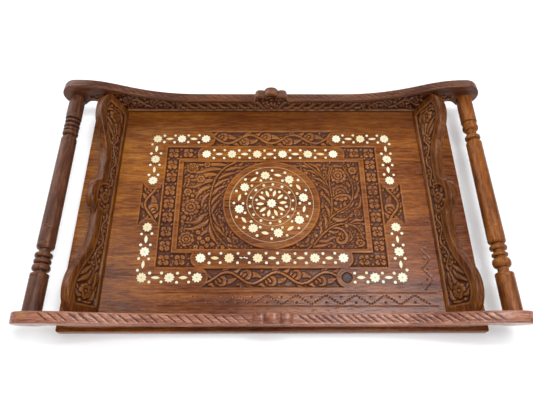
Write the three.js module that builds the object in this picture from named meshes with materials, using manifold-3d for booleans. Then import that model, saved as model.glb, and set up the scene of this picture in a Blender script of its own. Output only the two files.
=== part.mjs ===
// A carved rosewood serving tray with two turned handle spindles and a bone and wire inlay.
// Millimetres, +Z up. The origin is the middle of the underside of the base board,
// +X runs along the tray's length and +Y runs away from a person facing its front rail.
import * as THREE from "three";
import { mergeVertices } from "three/addons/utils/BufferGeometryUtils.js";
import Module from "manifold-3d";

const degrees = THREE.MathUtils.degToRad;

// Driving dimensions.
const GAP = 0.3; // room between two glued or fitted pieces
const BASE = { length: 380, depth: 251, thickness: 8, cornerRadius: 2 };
const RAIL = { thickness: 10, lean: degrees(7), footY: 111.5, footHalfLength: 172 };
const WALL = { thickness: 9, splay: degrees(25), footX: 154.2 };
const SPINDLE = { x: 205.2, height: 18, radius: 8.1, tenonRadius: 5, tenonLength: 6.5, segments: 16 };

const INLAY_THICKNESS = 1.5;
const FLOWER = { radius: 4.6, sides: 10 };
const STRIPS = {
  front: { y: -57.4, middle: 0, pitch: 26.8, flowers: 6 },
  back: { y: 57.4, middle: -1.4, pitch: 26.4, flowers: 6 },
};
const CORNER = { x: 120.1, y: 76.4, pitchX: 25.5, pitchY: 25.3, armFlowers: 2 };
const MEDALLION = { flowerRing: 32.4, flowers: 8, firstAngle: degrees(101.2) };
const WIRE = { width: 0.8, segments: 32, radii: { outer: 41.5, middle: 24.4, inner: 18.9 } };

const SCREW = {
  headRadius: 3.6,
  shankRadius: 1.7,
  length: 21,
  headHeight: 2.6,
  point: 3, // length of the pointed end
  tipRadius: 0.3,
  sunk: 0.6,
  segments: 12,
};
const SCREW_X = [-135, 0, 135];
const PIN = {
  radius: 0.8,
  length: 24,
  headRadius: 1.5,
  headHeight: 1,
  neck: 0.5, // length of the taper under the head
  point: 1.5,
  tipRadius: 0.2,
  sunk: 0.4,
  height: 11, // above the base board's top face
  segments: 8,
};

const OUTLINE_STEPS = 7; // straight pieces in each curve of an outline
const OVERCUT = 1; // how far a cutting tool reaches past the surface that it opens
const CUTTER = { length: 500, width: 60, height: 20 }; // a block larger than what it cuts away

// Heights and places that follow from them.
const TOP = BASE.thickness; // the top face of the base board
const SPINDLE_Z = TOP + SPINDLE.height;
const railFaceY = (z) => RAIL.footY + (z - TOP) * Math.tan(RAIL.lean);

const MATERIALS = {
  rosewood: { color: 0x8a5428, roughness: 0.42, metalness: 0 },
  turnedRosewood: { color: 0x7b4f30, roughness: 0.38, metalness: 0 },
  bone: { color: 0xe6dcc2, roughness: 0.5, metalness: 0 },
  wire: { color: 0xb9a27c, roughness: 0.35, metalness: 0.9 },
  steel: { color: 0x6d6a66, roughness: 0.45, metalness: 0.85 },
};
const material = (name) => new THREE.MeshStandardMaterial(MATERIALS[name]);

// Joining and cutting closed solids.
const wasm = await Module();
wasm.setup();

function toSolid(geometry) {
  const bare = new THREE.BufferGeometry();
  bare.setAttribute("position", geometry.getAttribute("position"));
  if (geometry.index) bare.setIndex(geometry.index);
  const merged = mergeVertices(bare, 1e-4);
  return new wasm.Manifold(
    new wasm.Mesh({
      numProp: 3,
      vertProperties: new Float32Array(merged.attributes.position.array),
      triVerts: new Uint32Array(merged.index.array),
    }),
  );
}

function toGeometry(solid) {
  const { vertProperties, triVerts } = solid.getMesh();
  const geometry = new THREE.BufferGeometry();
  geometry.setAttribute("position", new THREE.BufferAttribute(vertProperties, 3));
  geometry.setIndex(new THREE.BufferAttribute(triVerts, 1));
  geometry.computeVertexNormals();
  return geometry;
}

function cut(geometry, tools) {
  return toGeometry(tools.reduce((left, tool) => left.subtract(toSolid(tool)), toSolid(geometry)));
}

function block(sizeX, sizeY, sizeZ, x, y, z) {
  return new THREE.BoxGeometry(sizeX, sizeY, sizeZ).translate(x, y, z);
}

// A turned solid from a list of [distance along the axis, radius], with its axis along +Z.
function turned(profile, segments) {
  const points = profile.map(([along, radius]) => new THREE.Vector2(radius, along));
  const first = new THREE.Vector2(0, profile[0][0]);
  const last = new THREE.Vector2(0, profile[profile.length - 1][0]);
  return new THREE.LatheGeometry([first, ...points, last], segments).rotateX(Math.PI / 2);
}

// Base board.

function ringGeometry(radius, width, bottom, top) {
  const inner = radius - width / 2;
  const outer = radius + width / 2;
  const section = [
    new THREE.Vector2(inner, bottom),
    new THREE.Vector2(outer, bottom),
    new THREE.Vector2(outer, top),
    new THREE.Vector2(inner, top),
    new THREE.Vector2(inner, bottom),
  ];
  return new THREE.LatheGeometry(section, WIRE.segments).rotateX(Math.PI / 2);
}

function discGeometry(radius, sides, thickness, x, y, middleZ) {
  return new THREE.CylinderGeometry(radius, radius, thickness, sides)
    .rotateX(Math.PI / 2)
    .translate(x, y, middleZ);
}

// Where each bone flower of the inlay lies, as [node name, x, y].
function flowerPlaces() {
  const places = [];
  for (const [side, strip] of Object.entries(STRIPS)) {
    for (let i = 0; i < strip.flowers; i++) {
      const x = strip.middle + (i - (strip.flowers - 1) / 2) * strip.pitch;
      places.push([`flower_strip_${side}_${i + 1}`, x, strip.y]);
    }
  }
  for (const [name, signX, signY] of [
    ["front_left", -1, -1],
    ["front_right", 1, -1],
    ["back_left", -1, 1],
    ["back_right", 1, 1],
  ]) {
    places.push([`flower_corner_${name}`, signX * CORNER.x, signY * CORNER.y]);
    for (let i = 1; i <= CORNER.armFlowers; i++) {
      const alongX = signX * (CORNER.x - i * CORNER.pitchX);
      const alongY = signY * (CORNER.y - i * CORNER.pitchY);
      places.push([`flower_arm_x_${name}_${i}`, alongX, signY * CORNER.y]);
      places.push([`flower_arm_y_${name}_${i}`, signX * CORNER.x, alongY]);
    }
  }
  for (let i = 0; i < MEDALLION.flowers; i++) {
    const angle = MEDALLION.firstAngle - (i * 2 * Math.PI) / MEDALLION.flowers;
    const x = MEDALLION.flowerRing * Math.cos(angle);
    const y = MEDALLION.flowerRing * Math.sin(angle);
    places.push([`flower_medallion_${i + 1}`, x, y]);
  }
  places.push(["flower_centre", 0, 0]);
  return places;
}

// This tray has lost one flower: its pocket is there and its bone is gone.
const LOST_FLOWER = "flower_arm_x_front_right_2";

function screwPlaces() {
  const places = [];
  const y = RAIL.footY + RAIL.thickness / 2 + GAP;
  for (const [side, sign] of [["front", -1], ["back", 1]]) {
    SCREW_X.forEach((x, i) => places.push([`${side}_rail_screw_${i + 1}`, x, sign * y]));
  }
  return places;
}

// The screw itself with grow 0, or the tool that cuts its hole with grow as the room round it.
function screwProfile(grow) {
  const { headRadius, shankRadius, length, headHeight, point, tipRadius, sunk } = SCREW;
  return [
    [grow ? -OVERCUT : sunk, headRadius + grow],
    [sunk + grow, headRadius + grow],
    [sunk + headHeight + grow, shankRadius + grow],
    [sunk + length - point + grow, shankRadius + grow],
    [sunk + length + grow, tipRadius + grow],
  ];
}

function screwGeometry(grow, x, y) {
  return turned(screwProfile(grow), SCREW.segments).translate(x, y, 0);
}

function baseBoard() {
  const x = BASE.length / 2;
  const y = BASE.depth / 2;
  const r = BASE.cornerRadius;
  const outline = new THREE.Shape();
  outline.moveTo(-x + r, -y);
  outline.lineTo(x - r, -y);
  outline.absarc(x - r, -y + r, r, -Math.PI / 2, 0, false);
  outline.lineTo(x, y - r);
  outline.absarc(x - r, y - r, r, 0, Math.PI / 2, false);
  outline.lineTo(-x + r, y);
  outline.absarc(-x + r, y - r, r, Math.PI / 2, Math.PI, false);
  outline.lineTo(-x, -y + r);
  outline.absarc(-x + r, -y + r, r, Math.PI, 1.5 * Math.PI, false);
  const board = new THREE.ExtrudeGeometry(outline, {
    depth: BASE.thickness,
    bevelEnabled: false,
    curveSegments: 4,
  });
  const depth = INLAY_THICKNESS + GAP;
  const pocketMiddle = TOP + (OVERCUT - depth) / 2;
  const pockets = flowerPlaces().map(([, px, py]) =>
    discGeometry(FLOWER.radius + GAP, FLOWER.sides, depth + OVERCUT, px, py, pocketMiddle),
  );
  const grooves = Object.values(WIRE.radii).map((radius) =>
    ringGeometry(radius, WIRE.width + 2 * GAP, TOP - depth, TOP + OVERCUT),
  );
  const holes = screwPlaces().map(([, sx, sy]) => screwGeometry(GAP, sx, sy));
  return cut(board, [...pockets, ...grooves, ...holes]);
}

// A closed outline from its half at x >= 0, whose last point lies on x = 0.
function mirrored(half) {
  const right = half.getPoints(OUTLINE_STEPS);
  const left = right.slice(0, -1).reverse().map((p) => new THREE.Vector2(-p.x, p.y));
  return new THREE.Shape([...right, ...left]);
}

// Rails. The outline is drawn on the inner face: x along the rail, y up the leaning face.

function railOutline() {
  const foot = -3; // below the base's top face, and cut off level with it
  const half = new THREE.Path();
  half.moveTo(RAIL.footHalfLength, foot);
  half.lineTo(RAIL.footHalfLength, 0);
  half.bezierCurveTo(174, 10, 182, 15.6, 190, 15.6); // the arched notch beside the handle
  half.bezierCurveTo(196, 15.6, 197, 9.3, 203, 9.3);
  half.absellipse(203, 23.7, 15.3, 14.4, -Math.PI / 2, Math.PI / 2, false); // the round end
  half.bezierCurveTo(184, 38.3, 172, 35, 155, 29.8);
  half.bezierCurveTo(133, 23.2, 110, 18, 75, 18); // the long sweep down to the level top
  half.lineTo(17.2, 18);
  half.quadraticCurveTo(16.6, 23.6, 12.6, 23.7); // one shoulder of the crest
  half.quadraticCurveTo(9.4, 24, 7.4, 23.2);
  half.quadraticCurveTo(5.2, 27.8, 0, 27.8); // the dome of the crest
  return mirrored(half);
}

// sign is +1 for the back rail and -1 for the front rail.
function leanedRail(outline, sign) {
  const rail = new THREE.ExtrudeGeometry(outline, {
    depth: RAIL.thickness,
    bevelEnabled: false,
  });
  rail.rotateX(Math.PI / 2); // the face now stands up, with its thickness running towards -Y
  if (sign > 0) rail.translate(0, RAIL.thickness, 0);
  rail.rotateX(-sign * RAIL.lean);
  return rail.translate(0, sign * RAIL.footY, TOP);
}

const MORTISE_OPENING = 4; // how far the cutting tool stands out of the leaning face

function mortise(side, sign) {
  const length = SPINDLE.tenonLength + GAP + MORTISE_OPENING;
  const reach = railFaceY(SPINDLE_Z) + SPINDLE.tenonLength + GAP;
  return new THREE.CylinderGeometry(
    SPINDLE.tenonRadius + GAP,
    SPINDLE.tenonRadius + GAP,
    length,
    SPINDLE.segments,
  ).translate(side * SPINDLE.x, sign * (reach - length / 2), SPINDLE_Z);
}

// Everything below a foot that stands on the base board, to cut it off level.
function belowFoot(x, y) {
  const middleZ = TOP + GAP - CUTTER.height / 2;
  return block(CUTTER.length, CUTTER.width, CUTTER.height, x, y, middleZ);
}

function rail(sign) {
  const belowBase = belowFoot(0, sign * RAIL.footY);
  const holes = screwPlaces()
    .filter(([, , y]) => Math.sign(y) === sign)
    .map(([, x, y]) => screwGeometry(GAP, x, y));
  const mortises = [-1, 1].map((side) => mortise(side, sign));
  const pinHoles = [-1, 1].map((side) => pinGeometry(side, sign, GAP));
  return cut(leanedRail(railOutline(), sign), [belowBase, ...holes, ...mortises, ...pinHoles]);
}

// Side walls. The outline is drawn on the inner face: x along the wall, y up the splayed face.

function wallOutline() {
  const foot = -6; // below the base's top face, and cut off level with it
  const half = new THREE.Path();
  half.moveTo(122, foot);
  half.lineTo(122, 20);
  half.bezierCurveTo(116, 32, 106, 39.5, 92, 39.5); // the rounded lobe at the end
  half.bezierCurveTo(72, 39.5, 62, 22, 36, 22);
  half.lineTo(22, 22);
  half.quadraticCurveTo(15, 22, 14, 26.5); // the bracket-shaped bump in the middle
  half.quadraticCurveTo(10, 32, 0, 32);
  return mirrored(half);
}

// side is +1 for the right wall and -1 for the left wall.
function splayedWall(side) {
  const wall = new THREE.ExtrudeGeometry(wallOutline(), {
    depth: WALL.thickness,
    bevelEnabled: false,
  });
  wall.rotateX(Math.PI / 2);
  wall.rotateZ(Math.PI / 2); // the face now stands up along Y, with its thickness towards +X
  if (side < 0) wall.translate(-WALL.thickness, 0, 0);
  wall.rotateY(side * WALL.splay);
  return wall.translate(side * WALL.footX, 0, TOP);
}

// Everything on the rail's side of its inner face, to cut what ends against the rail.
function beyondRail(sign) {
  const { length, width } = CUTTER;
  const slab = block(length, width, length, 0, sign * (width / 2 - GAP), 0);
  return slab.rotateX(-sign * RAIL.lean).translate(0, sign * RAIL.footY, TOP);
}

function sideWall(side) {
  const belowBase = belowFoot(0, 0).rotateZ(Math.PI / 2).translate(side * WALL.footX, 0, 0);
  const pinHoles = [-1, 1].map((sign) => pinGeometry(side, sign, GAP));
  return cut(splayedWall(side), [belowBase, beyondRail(1), beyondRail(-1), ...pinHoles]);
}

// A pin driven through a rail into the end of a side wall, with its axis along Y. It is the
// pin itself with grow 0, or the tool that cuts its hole with grow as the room round it.
function pinGeometry(side, sign, grow) {
  const { radius, length, headRadius, headHeight, neck, point, tipRadius, sunk, height } = PIN;
  const pinHeight = TOP + height;
  const outerFaceY = railFaceY(pinHeight) + RAIL.thickness / Math.cos(RAIL.lean);
  const wallMiddleX =
    WALL.footX + height * Math.tan(WALL.splay) + WALL.thickness / 2 / Math.cos(WALL.splay);
  const underHead = -sunk - headHeight - grow;
  const profile = [
    [-length - point, tipRadius + grow],
    [-length, radius + grow],
    [underHead - neck, radius + grow],
    [underHead, headRadius + grow],
    [grow ? 2 * OVERCUT : -sunk, headRadius + grow],
  ];
  return turned(profile, PIN.segments)
    .rotateX((-sign * Math.PI) / 2)
    .translate(side * wallMiddleX, sign * outerFaceY, pinHeight);
}

// Handle spindles. Each is turned by hand, so the beads of the two don't match exactly.

const R = SPINDLE.radius;
const FRONT_BEADS = {
  left: { barrelEnd: -56, rings: [[-62, 8], [-67.6, 7.8]], bead: [-73.6, 8] },
  right: { barrelEnd: -50.5, rings: [[-55, 7.9], [-61.4, 7.2]], bead: [-69, 8] },
};
const BACK_BEADS = {
  left: { barrelEnd: 65, rings: [[78.6, 7.7], [74, 7.6]], bead: [69.6, 8] },
  right: { barrelEnd: 60.5, rings: [[65.2, 7.6]], bead: [77.2, 7.8] },
};

const NECK = 5.6; // radius between the beads
const RING_REACH = 1.8; // from the crest of a ring to its foot
const BEAD = { reach: 3, crest: 1.6 }; // from the middle of a bead to its foot, and to the end of its crest
const PAST_RAIL = 150; // beyond the rails, which cut the spindle's shoulders

function spindleProfile(name) {
  const front = FRONT_BEADS[name];
  const back = BACK_BEADS[name];
  const ring = ([y, radius]) => [[y - RING_REACH, NECK], [y, radius], [y + RING_REACH, NECK]];
  const bead = ([y, radius]) => [
    [y - BEAD.reach, NECK],
    [y - BEAD.crest, radius],
    [y + BEAD.crest, radius],
    [y + BEAD.reach, NECK],
  ];
  const points = [
    [-PAST_RAIL, R],
    [-79.5, R],
    [-79, NECK],
    ...bead(front.bead),
    ...front.rings.flatMap(ring),
    [front.barrelEnd - 1.2, 6.2],
    [front.barrelEnd, 7.4],
    [front.barrelEnd + 5, R - 0.1],
    [back.barrelEnd - 6, R - 0.3],
    [back.barrelEnd, 6.6],
    ...back.rings.flatMap(ring),
    ...ring(back.bead),
    [83, NECK],
    [83.5, 7.4],
    [86.8, R - 0.2],
    [PAST_RAIL, R - 0.2],
  ];
  return points.sort((a, b) => a[0] - b[0]);
}

function spindle(side) {
  const body = turned(spindleProfile(side < 0 ? "left" : "right"), SPINDLE.segments)
    .rotateX(-Math.PI / 2)
    .translate(side * SPINDLE.x, 0, SPINDLE_Z);
  const tenonReach = railFaceY(SPINDLE_Z) + SPINDLE.tenonLength;
  const tenon = new THREE.CylinderGeometry(
    SPINDLE.tenonRadius,
    SPINDLE.tenonRadius,
    2 * tenonReach,
    SPINDLE.segments,
  ).translate(side * SPINDLE.x, 0, SPINDLE_Z);
  const shoulders = [1, -1].reduce(
    (left, sign) => left.subtract(toSolid(beyondRail(sign))),
    toSolid(body),
  );
  return toGeometry(shoulders.add(toSolid(tenon)));
}

// Assembly.

const tray = new THREE.Group();

function place(parent, name, geometry, materialName) {
  const mesh = new THREE.Mesh(geometry, material(materialName));
  mesh.name = name;
  parent.add(mesh);
}

const frame = new THREE.Group();
place(frame, "base_board", baseBoard(), "rosewood");
place(frame, "front_rail", rail(-1), "rosewood");
place(frame, "back_rail", rail(1), "rosewood");
place(frame, "left_side_wall", sideWall(-1), "rosewood");
place(frame, "right_side_wall", sideWall(1), "rosewood");
place(frame, "left_handle_spindle", spindle(-1), "turnedRosewood");
place(frame, "right_handle_spindle", spindle(1), "turnedRosewood");

const fasteners = new THREE.Group();
for (const [name, x, y] of screwPlaces()) place(fasteners, name, screwGeometry(0, x, y), "steel");
for (const [endName, sign] of [["front", -1], ["back", 1]]) {
  for (const [sideName, side] of [["left", -1], ["right", 1]]) {
    place(fasteners, `${endName}_${sideName}_corner_pin`, pinGeometry(side, sign, 0), "steel");
  }
}

const inlay = new THREE.Group();
const inlayMiddle = TOP - INLAY_THICKNESS / 2;
for (const [name, x, y] of flowerPlaces()) {
  if (name === LOST_FLOWER) continue;
  const flower = discGeometry(FLOWER.radius, FLOWER.sides, INLAY_THICKNESS, x, y, inlayMiddle);
  place(inlay, name, flower, "bone");
}
for (const [name, radius] of Object.entries(WIRE.radii)) {
  const ring = ringGeometry(radius, WIRE.width, TOP - INLAY_THICKNESS, TOP);
  place(inlay, `wire_ring_${name}`, ring, "wire");
}

tray.add(frame, fasteners, inlay);

export default tray;
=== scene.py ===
"""Looks of a carved rosewood serving tray with bone and wire inlay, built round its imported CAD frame.

Lengths in the making code are millimetres in the frame of the CAD; meshes are written in metres.
"""

import math

import bpy
import numpy as np
from mathutils import Matrix, Vector, kdtree


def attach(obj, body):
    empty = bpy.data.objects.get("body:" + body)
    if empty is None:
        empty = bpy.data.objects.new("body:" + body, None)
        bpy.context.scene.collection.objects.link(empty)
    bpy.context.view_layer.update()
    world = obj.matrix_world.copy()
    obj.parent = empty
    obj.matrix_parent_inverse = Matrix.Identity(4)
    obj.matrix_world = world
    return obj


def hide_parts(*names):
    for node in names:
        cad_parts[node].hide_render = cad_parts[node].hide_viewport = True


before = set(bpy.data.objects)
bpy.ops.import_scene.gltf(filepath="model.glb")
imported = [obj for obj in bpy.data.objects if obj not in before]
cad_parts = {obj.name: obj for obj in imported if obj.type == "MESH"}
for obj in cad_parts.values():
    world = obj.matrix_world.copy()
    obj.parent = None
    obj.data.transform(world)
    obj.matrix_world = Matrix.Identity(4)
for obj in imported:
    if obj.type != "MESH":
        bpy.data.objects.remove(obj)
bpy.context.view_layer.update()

MM = 0.001
TAU = 2 * math.pi

# Main sizes, the same as the CAD's.
BASE_X, BASE_Y, TOP = 190.0, 125.5, 8.0
RAIL_LEAN, RAIL_FOOT, RAIL_THICK = math.radians(7), 111.5, 10.0
WALL_SPLAY, WALL_FOOT, WALL_THICK = math.radians(25), 154.2, 9.0
SPINDLE_X, SPINDLE_Z = 205.2, 26.0
DISC_RADIUS = 48.0
FLOWER_RADIUS = 4.6


# ---------------------------------------------------------------- meshes


def pairs(*columns):
    """Arrays of one shape as points, a column for each array."""
    return np.stack(columns, axis=-1)


def link(name, data):
    """A new object in the scene."""
    obj = bpy.data.objects.new(name, data)
    bpy.context.scene.collection.objects.link(obj)
    return obj


def build(name, verts, quads=(), tris=()):
    """A mesh object from vertices in mm. Faces are turned outwards by the sign of the volume."""
    verts = np.asarray(verts, float) * MM
    quads = np.asarray(quads, int).reshape(-1, 4)
    tris = np.asarray(tris, int).reshape(-1, 3)
    as_tris = np.concatenate([quads[:, [0, 1, 2]], quads[:, [0, 2, 3]], tris])
    a, b, c = (verts[as_tris[:, k]] for k in range(3))
    if np.einsum("ij,ij->i", a, np.cross(b, c)).sum() < 0:
        quads, tris = quads[:, ::-1], tris[:, ::-1]
    mesh = bpy.data.meshes.new(name)
    mesh.vertices.add(len(verts))
    mesh.vertices.foreach_set("co", verts.ravel())
    mesh.loops.add(quads.size + tris.size)
    mesh.loops.foreach_set("vertex_index", np.concatenate([quads.ravel(), tris.ravel()]))
    totals = np.concatenate([np.full(len(quads), 4), np.full(len(tris), 3)])
    mesh.polygons.add(len(totals))
    mesh.polygons.foreach_set("loop_start", np.concatenate([[0], np.cumsum(totals)[:-1]]))
    mesh.polygons.foreach_set("loop_total", totals)
    mesh.polygons.foreach_set("use_smooth", np.ones(len(totals), bool))
    mesh.update(calc_edges=True)
    mesh.validate()
    return link(name, mesh)


def finish_piece(obj, material, nodes=(), sharp=None, tones=None):
    """Gives a piece its material, its body and the CAD nodes that it stands for."""
    obj.data.materials.append(material)
    if sharp is not None:
        obj.data.set_sharp_from_angle(angle=math.radians(sharp))
    for key, values in (tones or {}).items():
        layer = obj.data.attributes.new(key, "FLOAT", "POINT")
        layer.data.foreach_set("value", np.asarray(values, np.float32).ravel())
    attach(obj, "root")
    if nodes:
        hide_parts(*nodes)


def ring_faces(count, around):
    """Quads between `count` closed rings of `around` points each."""
    i = np.arange(count - 1)[:, None] * around
    j = np.arange(around)[None, :]
    k = (j + 1) % around
    return pairs(i + j, i + k, i + around + k, i + around + j).reshape(-1, 4)


def tube(rings):
    """Vertices and faces of a closed solid through rings of points, with a fan over each end."""
    rings = np.asarray(rings, float)
    count, around = rings.shape[:2]
    ends = np.stack([rings[0].mean(axis=0), rings[-1].mean(axis=0)])
    verts = np.concatenate([rings.reshape(-1, 3), ends])
    j = np.arange(around)
    k = (j + 1) % around
    last = (count - 1) * around
    first_fan = pairs(np.full(around, len(verts) - 2), k, j)
    last_fan = pairs(np.full(around, len(verts) - 1), last + j, last + k)
    return verts, ring_faces(count, around), np.concatenate([first_fan, last_fan])


def join_parts(parts):
    """Several (verts, quads, tris, tone) as one set of arrays."""
    verts, quads, tris, tones, start = [], [], [], [], 0
    for v, q, t, tone in parts:
        verts.append(v)
        quads.append(np.asarray(q, int).reshape(-1, 4) + start)
        tris.append(np.asarray(t, int).reshape(-1, 3) + start)
        tones.append(np.full(len(v), tone))
        start += len(v)
    return map(np.concatenate, (verts, quads, tris, tones))


def polar(r, degrees):
    """x and y of the point at a radius and an angle."""
    return r * math.cos(math.radians(degrees)), r * math.sin(math.radians(degrees))


def smoothstep(x):
    """0 below 0, 1 above 1, and an even rise between."""
    x = np.clip(x, 0, 1)
    return x * x * (3 - 2 * x)


def bezier(points, steps=40):
    """Points along a Bezier curve of 2, 3 or 4 control points."""
    t = np.linspace(0, 1, steps)[:, None]
    p = [np.asarray(q, float) for q in points]
    while len(p) > 1:
        p = [a * (1 - t) + b * t for a, b in zip(p, p[1:])]
    return p[0]


def resample(path, step):
    """The same path with points about `step` apart."""
    path = np.asarray(path, float)
    along = np.concatenate([[0], np.cumsum(np.hypot(*np.diff(path, axis=0).T))])
    count = max(4, int(along[-1] / step) + 1)
    at = np.linspace(0, along[-1], count)
    return pairs(np.interp(at, along, path[:, 0]), np.interp(at, along, path[:, 1]))


def smooth_path(points, step=0.7):
    """A Catmull-Rom curve through the given points."""
    p = np.asarray(points, float)
    p = np.vstack([2 * p[0] - p[1], p, 2 * p[-1] - p[-2]])
    out = []
    t = np.linspace(0, 1, 12, endpoint=False)[:, None]
    for a, b, c, d in zip(p, p[1:], p[2:], p[3:]):
        out.append(0.5 * (2 * b + (c - a) * t + (2 * a - 5 * b + 4 * c - d) * t**2 + (3 * b - a - 3 * c + d) * t**3))
    return resample(np.vstack(out + [p[-2][None]]), step)


# ---------------------------------------------------------------- carving

EMPTY = -99.0  # nothing stands here yet
FLUTE_PITCH = 1.25
VEIN_PITCH = 2.4
GROUND_SEED = 5


class Relief:
    """A carved face: heights over a grid, 0 on the plain surface and negative where wood is cut away."""

    def __init__(self, x_range, y_range, step, depth):
        self.xs, self.ys = (
            np.linspace(low, high, int(round((high - low) / step)) + 1) for low, high in (x_range, y_range)
        )
        self.x, self.y = np.meshgrid(self.xs, self.ys)
        self.depth = depth
        self.carved = np.full(self.x.shape, EMPTY)  # distance inside a carved area
        self.raised = np.full(self.x.shape, EMPTY)  # height of what stands in it
        self.cuts = np.zeros(self.x.shape)  # cuts made after everything else
        self.dark_marks = np.zeros(self.x.shape)  # dark filler, and darker punched dots
        self.limit = None  # distance inside the area that shapes keep to

    def carve(self, inside):
        """Opens an area, given as the distance inside it."""
        self.carved = np.maximum(self.carved, inside)

    def window(self, low, high):
        """The slices of the grid between two corners."""
        i = np.searchsorted(self.xs, [low[0], high[0]])
        j = np.searchsorted(self.ys, [low[1], high[1]])
        return slice(j[0], j[1]), slice(i[0], i[1])

    def near(self, x, y, reach):
        """The slices of the grid round a point, and the distances from the point along X and Y."""
        win = self.window((x - reach, y - reach), (x + reach, y + reach))
        return win, self.x[win] - x, self.y[win] - y

    def put(self, win, inside, height, trench=0.75):
        """Sets a shape over whatever is there, with a narrow cut round it."""
        there = self.raised[win]
        if self.limit is not None:
            inside = np.where(self.limit[win] > 0, inside, EMPTY)
        ring = (inside < 0) & (inside > -trench)
        low = -self.depth * (1.0 + 0.45 * inside / trench)
        there[ring] = np.minimum(there, low)[ring]
        on = inside >= 0
        there[on] = height[on]

    def stroke(
        self, path, width, top=-0.15, fall=0.0, crown=0.9, groove=0.0, veins=0.0, pitch=VEIN_PITCH, lines=0.0
    ):
        """A raised line or leaf along a path. width is the half width at each point of it."""
        path = np.asarray(path, float)
        width = np.broadcast_to(np.asarray(width, float), (len(path),))
        reach = width.max() + 1.0
        win = self.window(path.min(axis=0) - reach, path.max(axis=0) + reach)
        x, y = self.x[win], self.y[win]
        if not x.size:
            return
        best = np.full(x.shape, 1e9)
        nearest = np.zeros(x.shape, int)
        for i, ((px, py), r) in enumerate(zip(path, width)):
            d = np.hypot(x - px, y - py) - r
            closer = d < best
            best[closer] = d[closer]
            nearest[closer] = i
        tangent = np.gradient(path, axis=0)
        tangent /= np.maximum(np.linalg.norm(tangent, axis=1, keepdims=True), 1e-9)
        along = np.concatenate([[0], np.cumsum(np.hypot(*np.diff(path, axis=0).T))])
        dx, dy = x - path[nearest, 0], y - path[nearest, 1]
        tx, ty = tangent[nearest, 0], tangent[nearest, 1]
        here = along[nearest] + dx * tx + dy * ty
        side = np.abs(dx * ty - dy * tx)
        share = np.clip(side / np.maximum(width[nearest], 0.3), 0, 1)
        height = top - fall * here / along[-1] - crown * (1 - np.sqrt(1 - share**2))
        height -= groove * np.exp(-((side / 0.45) ** 2))
        if veins:
            rays = 0.5 - 0.5 * np.cos(TAU * (here - 1.1 * side) / pitch)
            height -= veins * rays * smoothstep(side / 0.8)
        height -= lines * (0.5 + 0.5 * np.cos(TAU * side / FLUTE_PITCH)) * smoothstep(share * 3)
        self.put(win, -best, height)

    def leaf(self, x, y, angle, length, width, bend=0.0, top=-0.2, veins=0.55):
        """A pointed leaf from (x, y). The angle is in degrees, and bend is its sideways drift at the tip."""
        t = np.linspace(0, 1, max(10, int(length / 0.8)))
        c, s = polar(1.0, angle)
        u, v = length * t, bend * t**2
        half = 0.5 * width * (np.sin(math.pi * t**0.75) ** 0.75 + 0.12 * (1 - t))
        path = pairs(x + u * c - v * s, y + u * s + v * c)
        self.stroke(path, np.maximum(half, 0.2), top=top, fall=0.5, crown=0.75, groove=0.6, veins=veins)

    def blade(self, points, width):
        """A long leaf through the given points, fluted from end to end."""
        path = smooth_path(points)
        t = np.linspace(0, 1, len(path))
        half = 0.5 * width * (0.25 + 0.85 * np.sin(math.pi * t**0.8)) * (1 - 0.75 * t**3)
        self.stroke(path, np.maximum(half, 0.3), fall=0.5, crown=0.6, lines=0.6)

    def stem(self, points, width):
        """A round, grooved stem through the given points."""
        self.stroke(smooth_path(points), width, top=-0.05, crown=0.4, groove=0.3)

    def curl(self, x, y, angle, size, turn):
        """A leaf that winds in on itself. turn is +1 to the left and -1 to the right."""
        steps = 46
        sweep = math.radians(400)
        heading = math.radians(angle)
        at = np.array([x, y], float)
        path = [at]
        for i in range(steps):
            t = i / steps
            heading += turn * sweep / steps * (0.55 + 0.9 * t)
            at = at + size * 0.17 * (1.25 - t) * np.array([math.cos(heading), math.sin(heading)])
            path.append(at)
        t = np.linspace(0, 1, len(path))
        half = 1.5 * (0.45 + 0.75 * np.sin(math.pi * t) ** 1.2 + 0.35 * t**4)
        self.stroke(path, half, top=-0.2, fall=0.25, crown=0.8, groove=0.3, veins=0.3, pitch=2.0)

    def rosette(self, x, y, radius, petals=8, layers=1, turn=0.0):
        """A round flower of domed petals and a boss."""
        top = -0.1
        win, dx, dy = self.near(x, y, radius + 2)
        r, a = np.hypot(dx, dy), np.arctan2(dy, dx) + turn
        for layer in range(layers):
            size = radius * (1 - 0.42 * layer)
            wave = np.abs(np.cos(petals * (a + layer * math.pi / petals) / 2))
            edge = size * (0.80 + 0.20 * wave**0.6)
            dome = np.sqrt(np.clip(1 - ((r / edge - 0.62) / 0.55) ** 2, 0, 1))
            height = top - 0.9 + 0.75 * dome + 0.2 * layer - 0.75 * (1 - wave) ** 4
            height -= 0.3 * np.exp(-(((wave - 1) * size * 0.9) ** 2)) * smoothstep(r / size)
            self.put(win, edge - r, height)
        boss = radius * 0.2 + 0.3
        self.put(win, boss - r, top - 0.5 * (r / boss) ** 2, trench=0.6)

    def dome(self, x, y, radius, top=-0.15, dimple=0.0):
        """A round bud."""
        win, dx, dy = self.near(x, y, radius + 1)
        r = np.hypot(dx, dy)
        height = top - 0.9 * (1 - np.sqrt(np.clip(1 - (r / radius) ** 2, 0, 1)))
        height -= dimple * np.exp(-((r / (0.35 * radius)) ** 2))
        self.put(win, radius - r, height, trench=0.6)

    def floret(self, x, y, size):
        """Four round petals about a boss."""
        for degrees in (45, 135, 225, 315):
            dx, dy = polar(0.5 * size, degrees)
            self.dome(x + dx, y + dy, 0.42 * size, dimple=0.7)
        self.dome(x, y, 0.2 * size)

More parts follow.
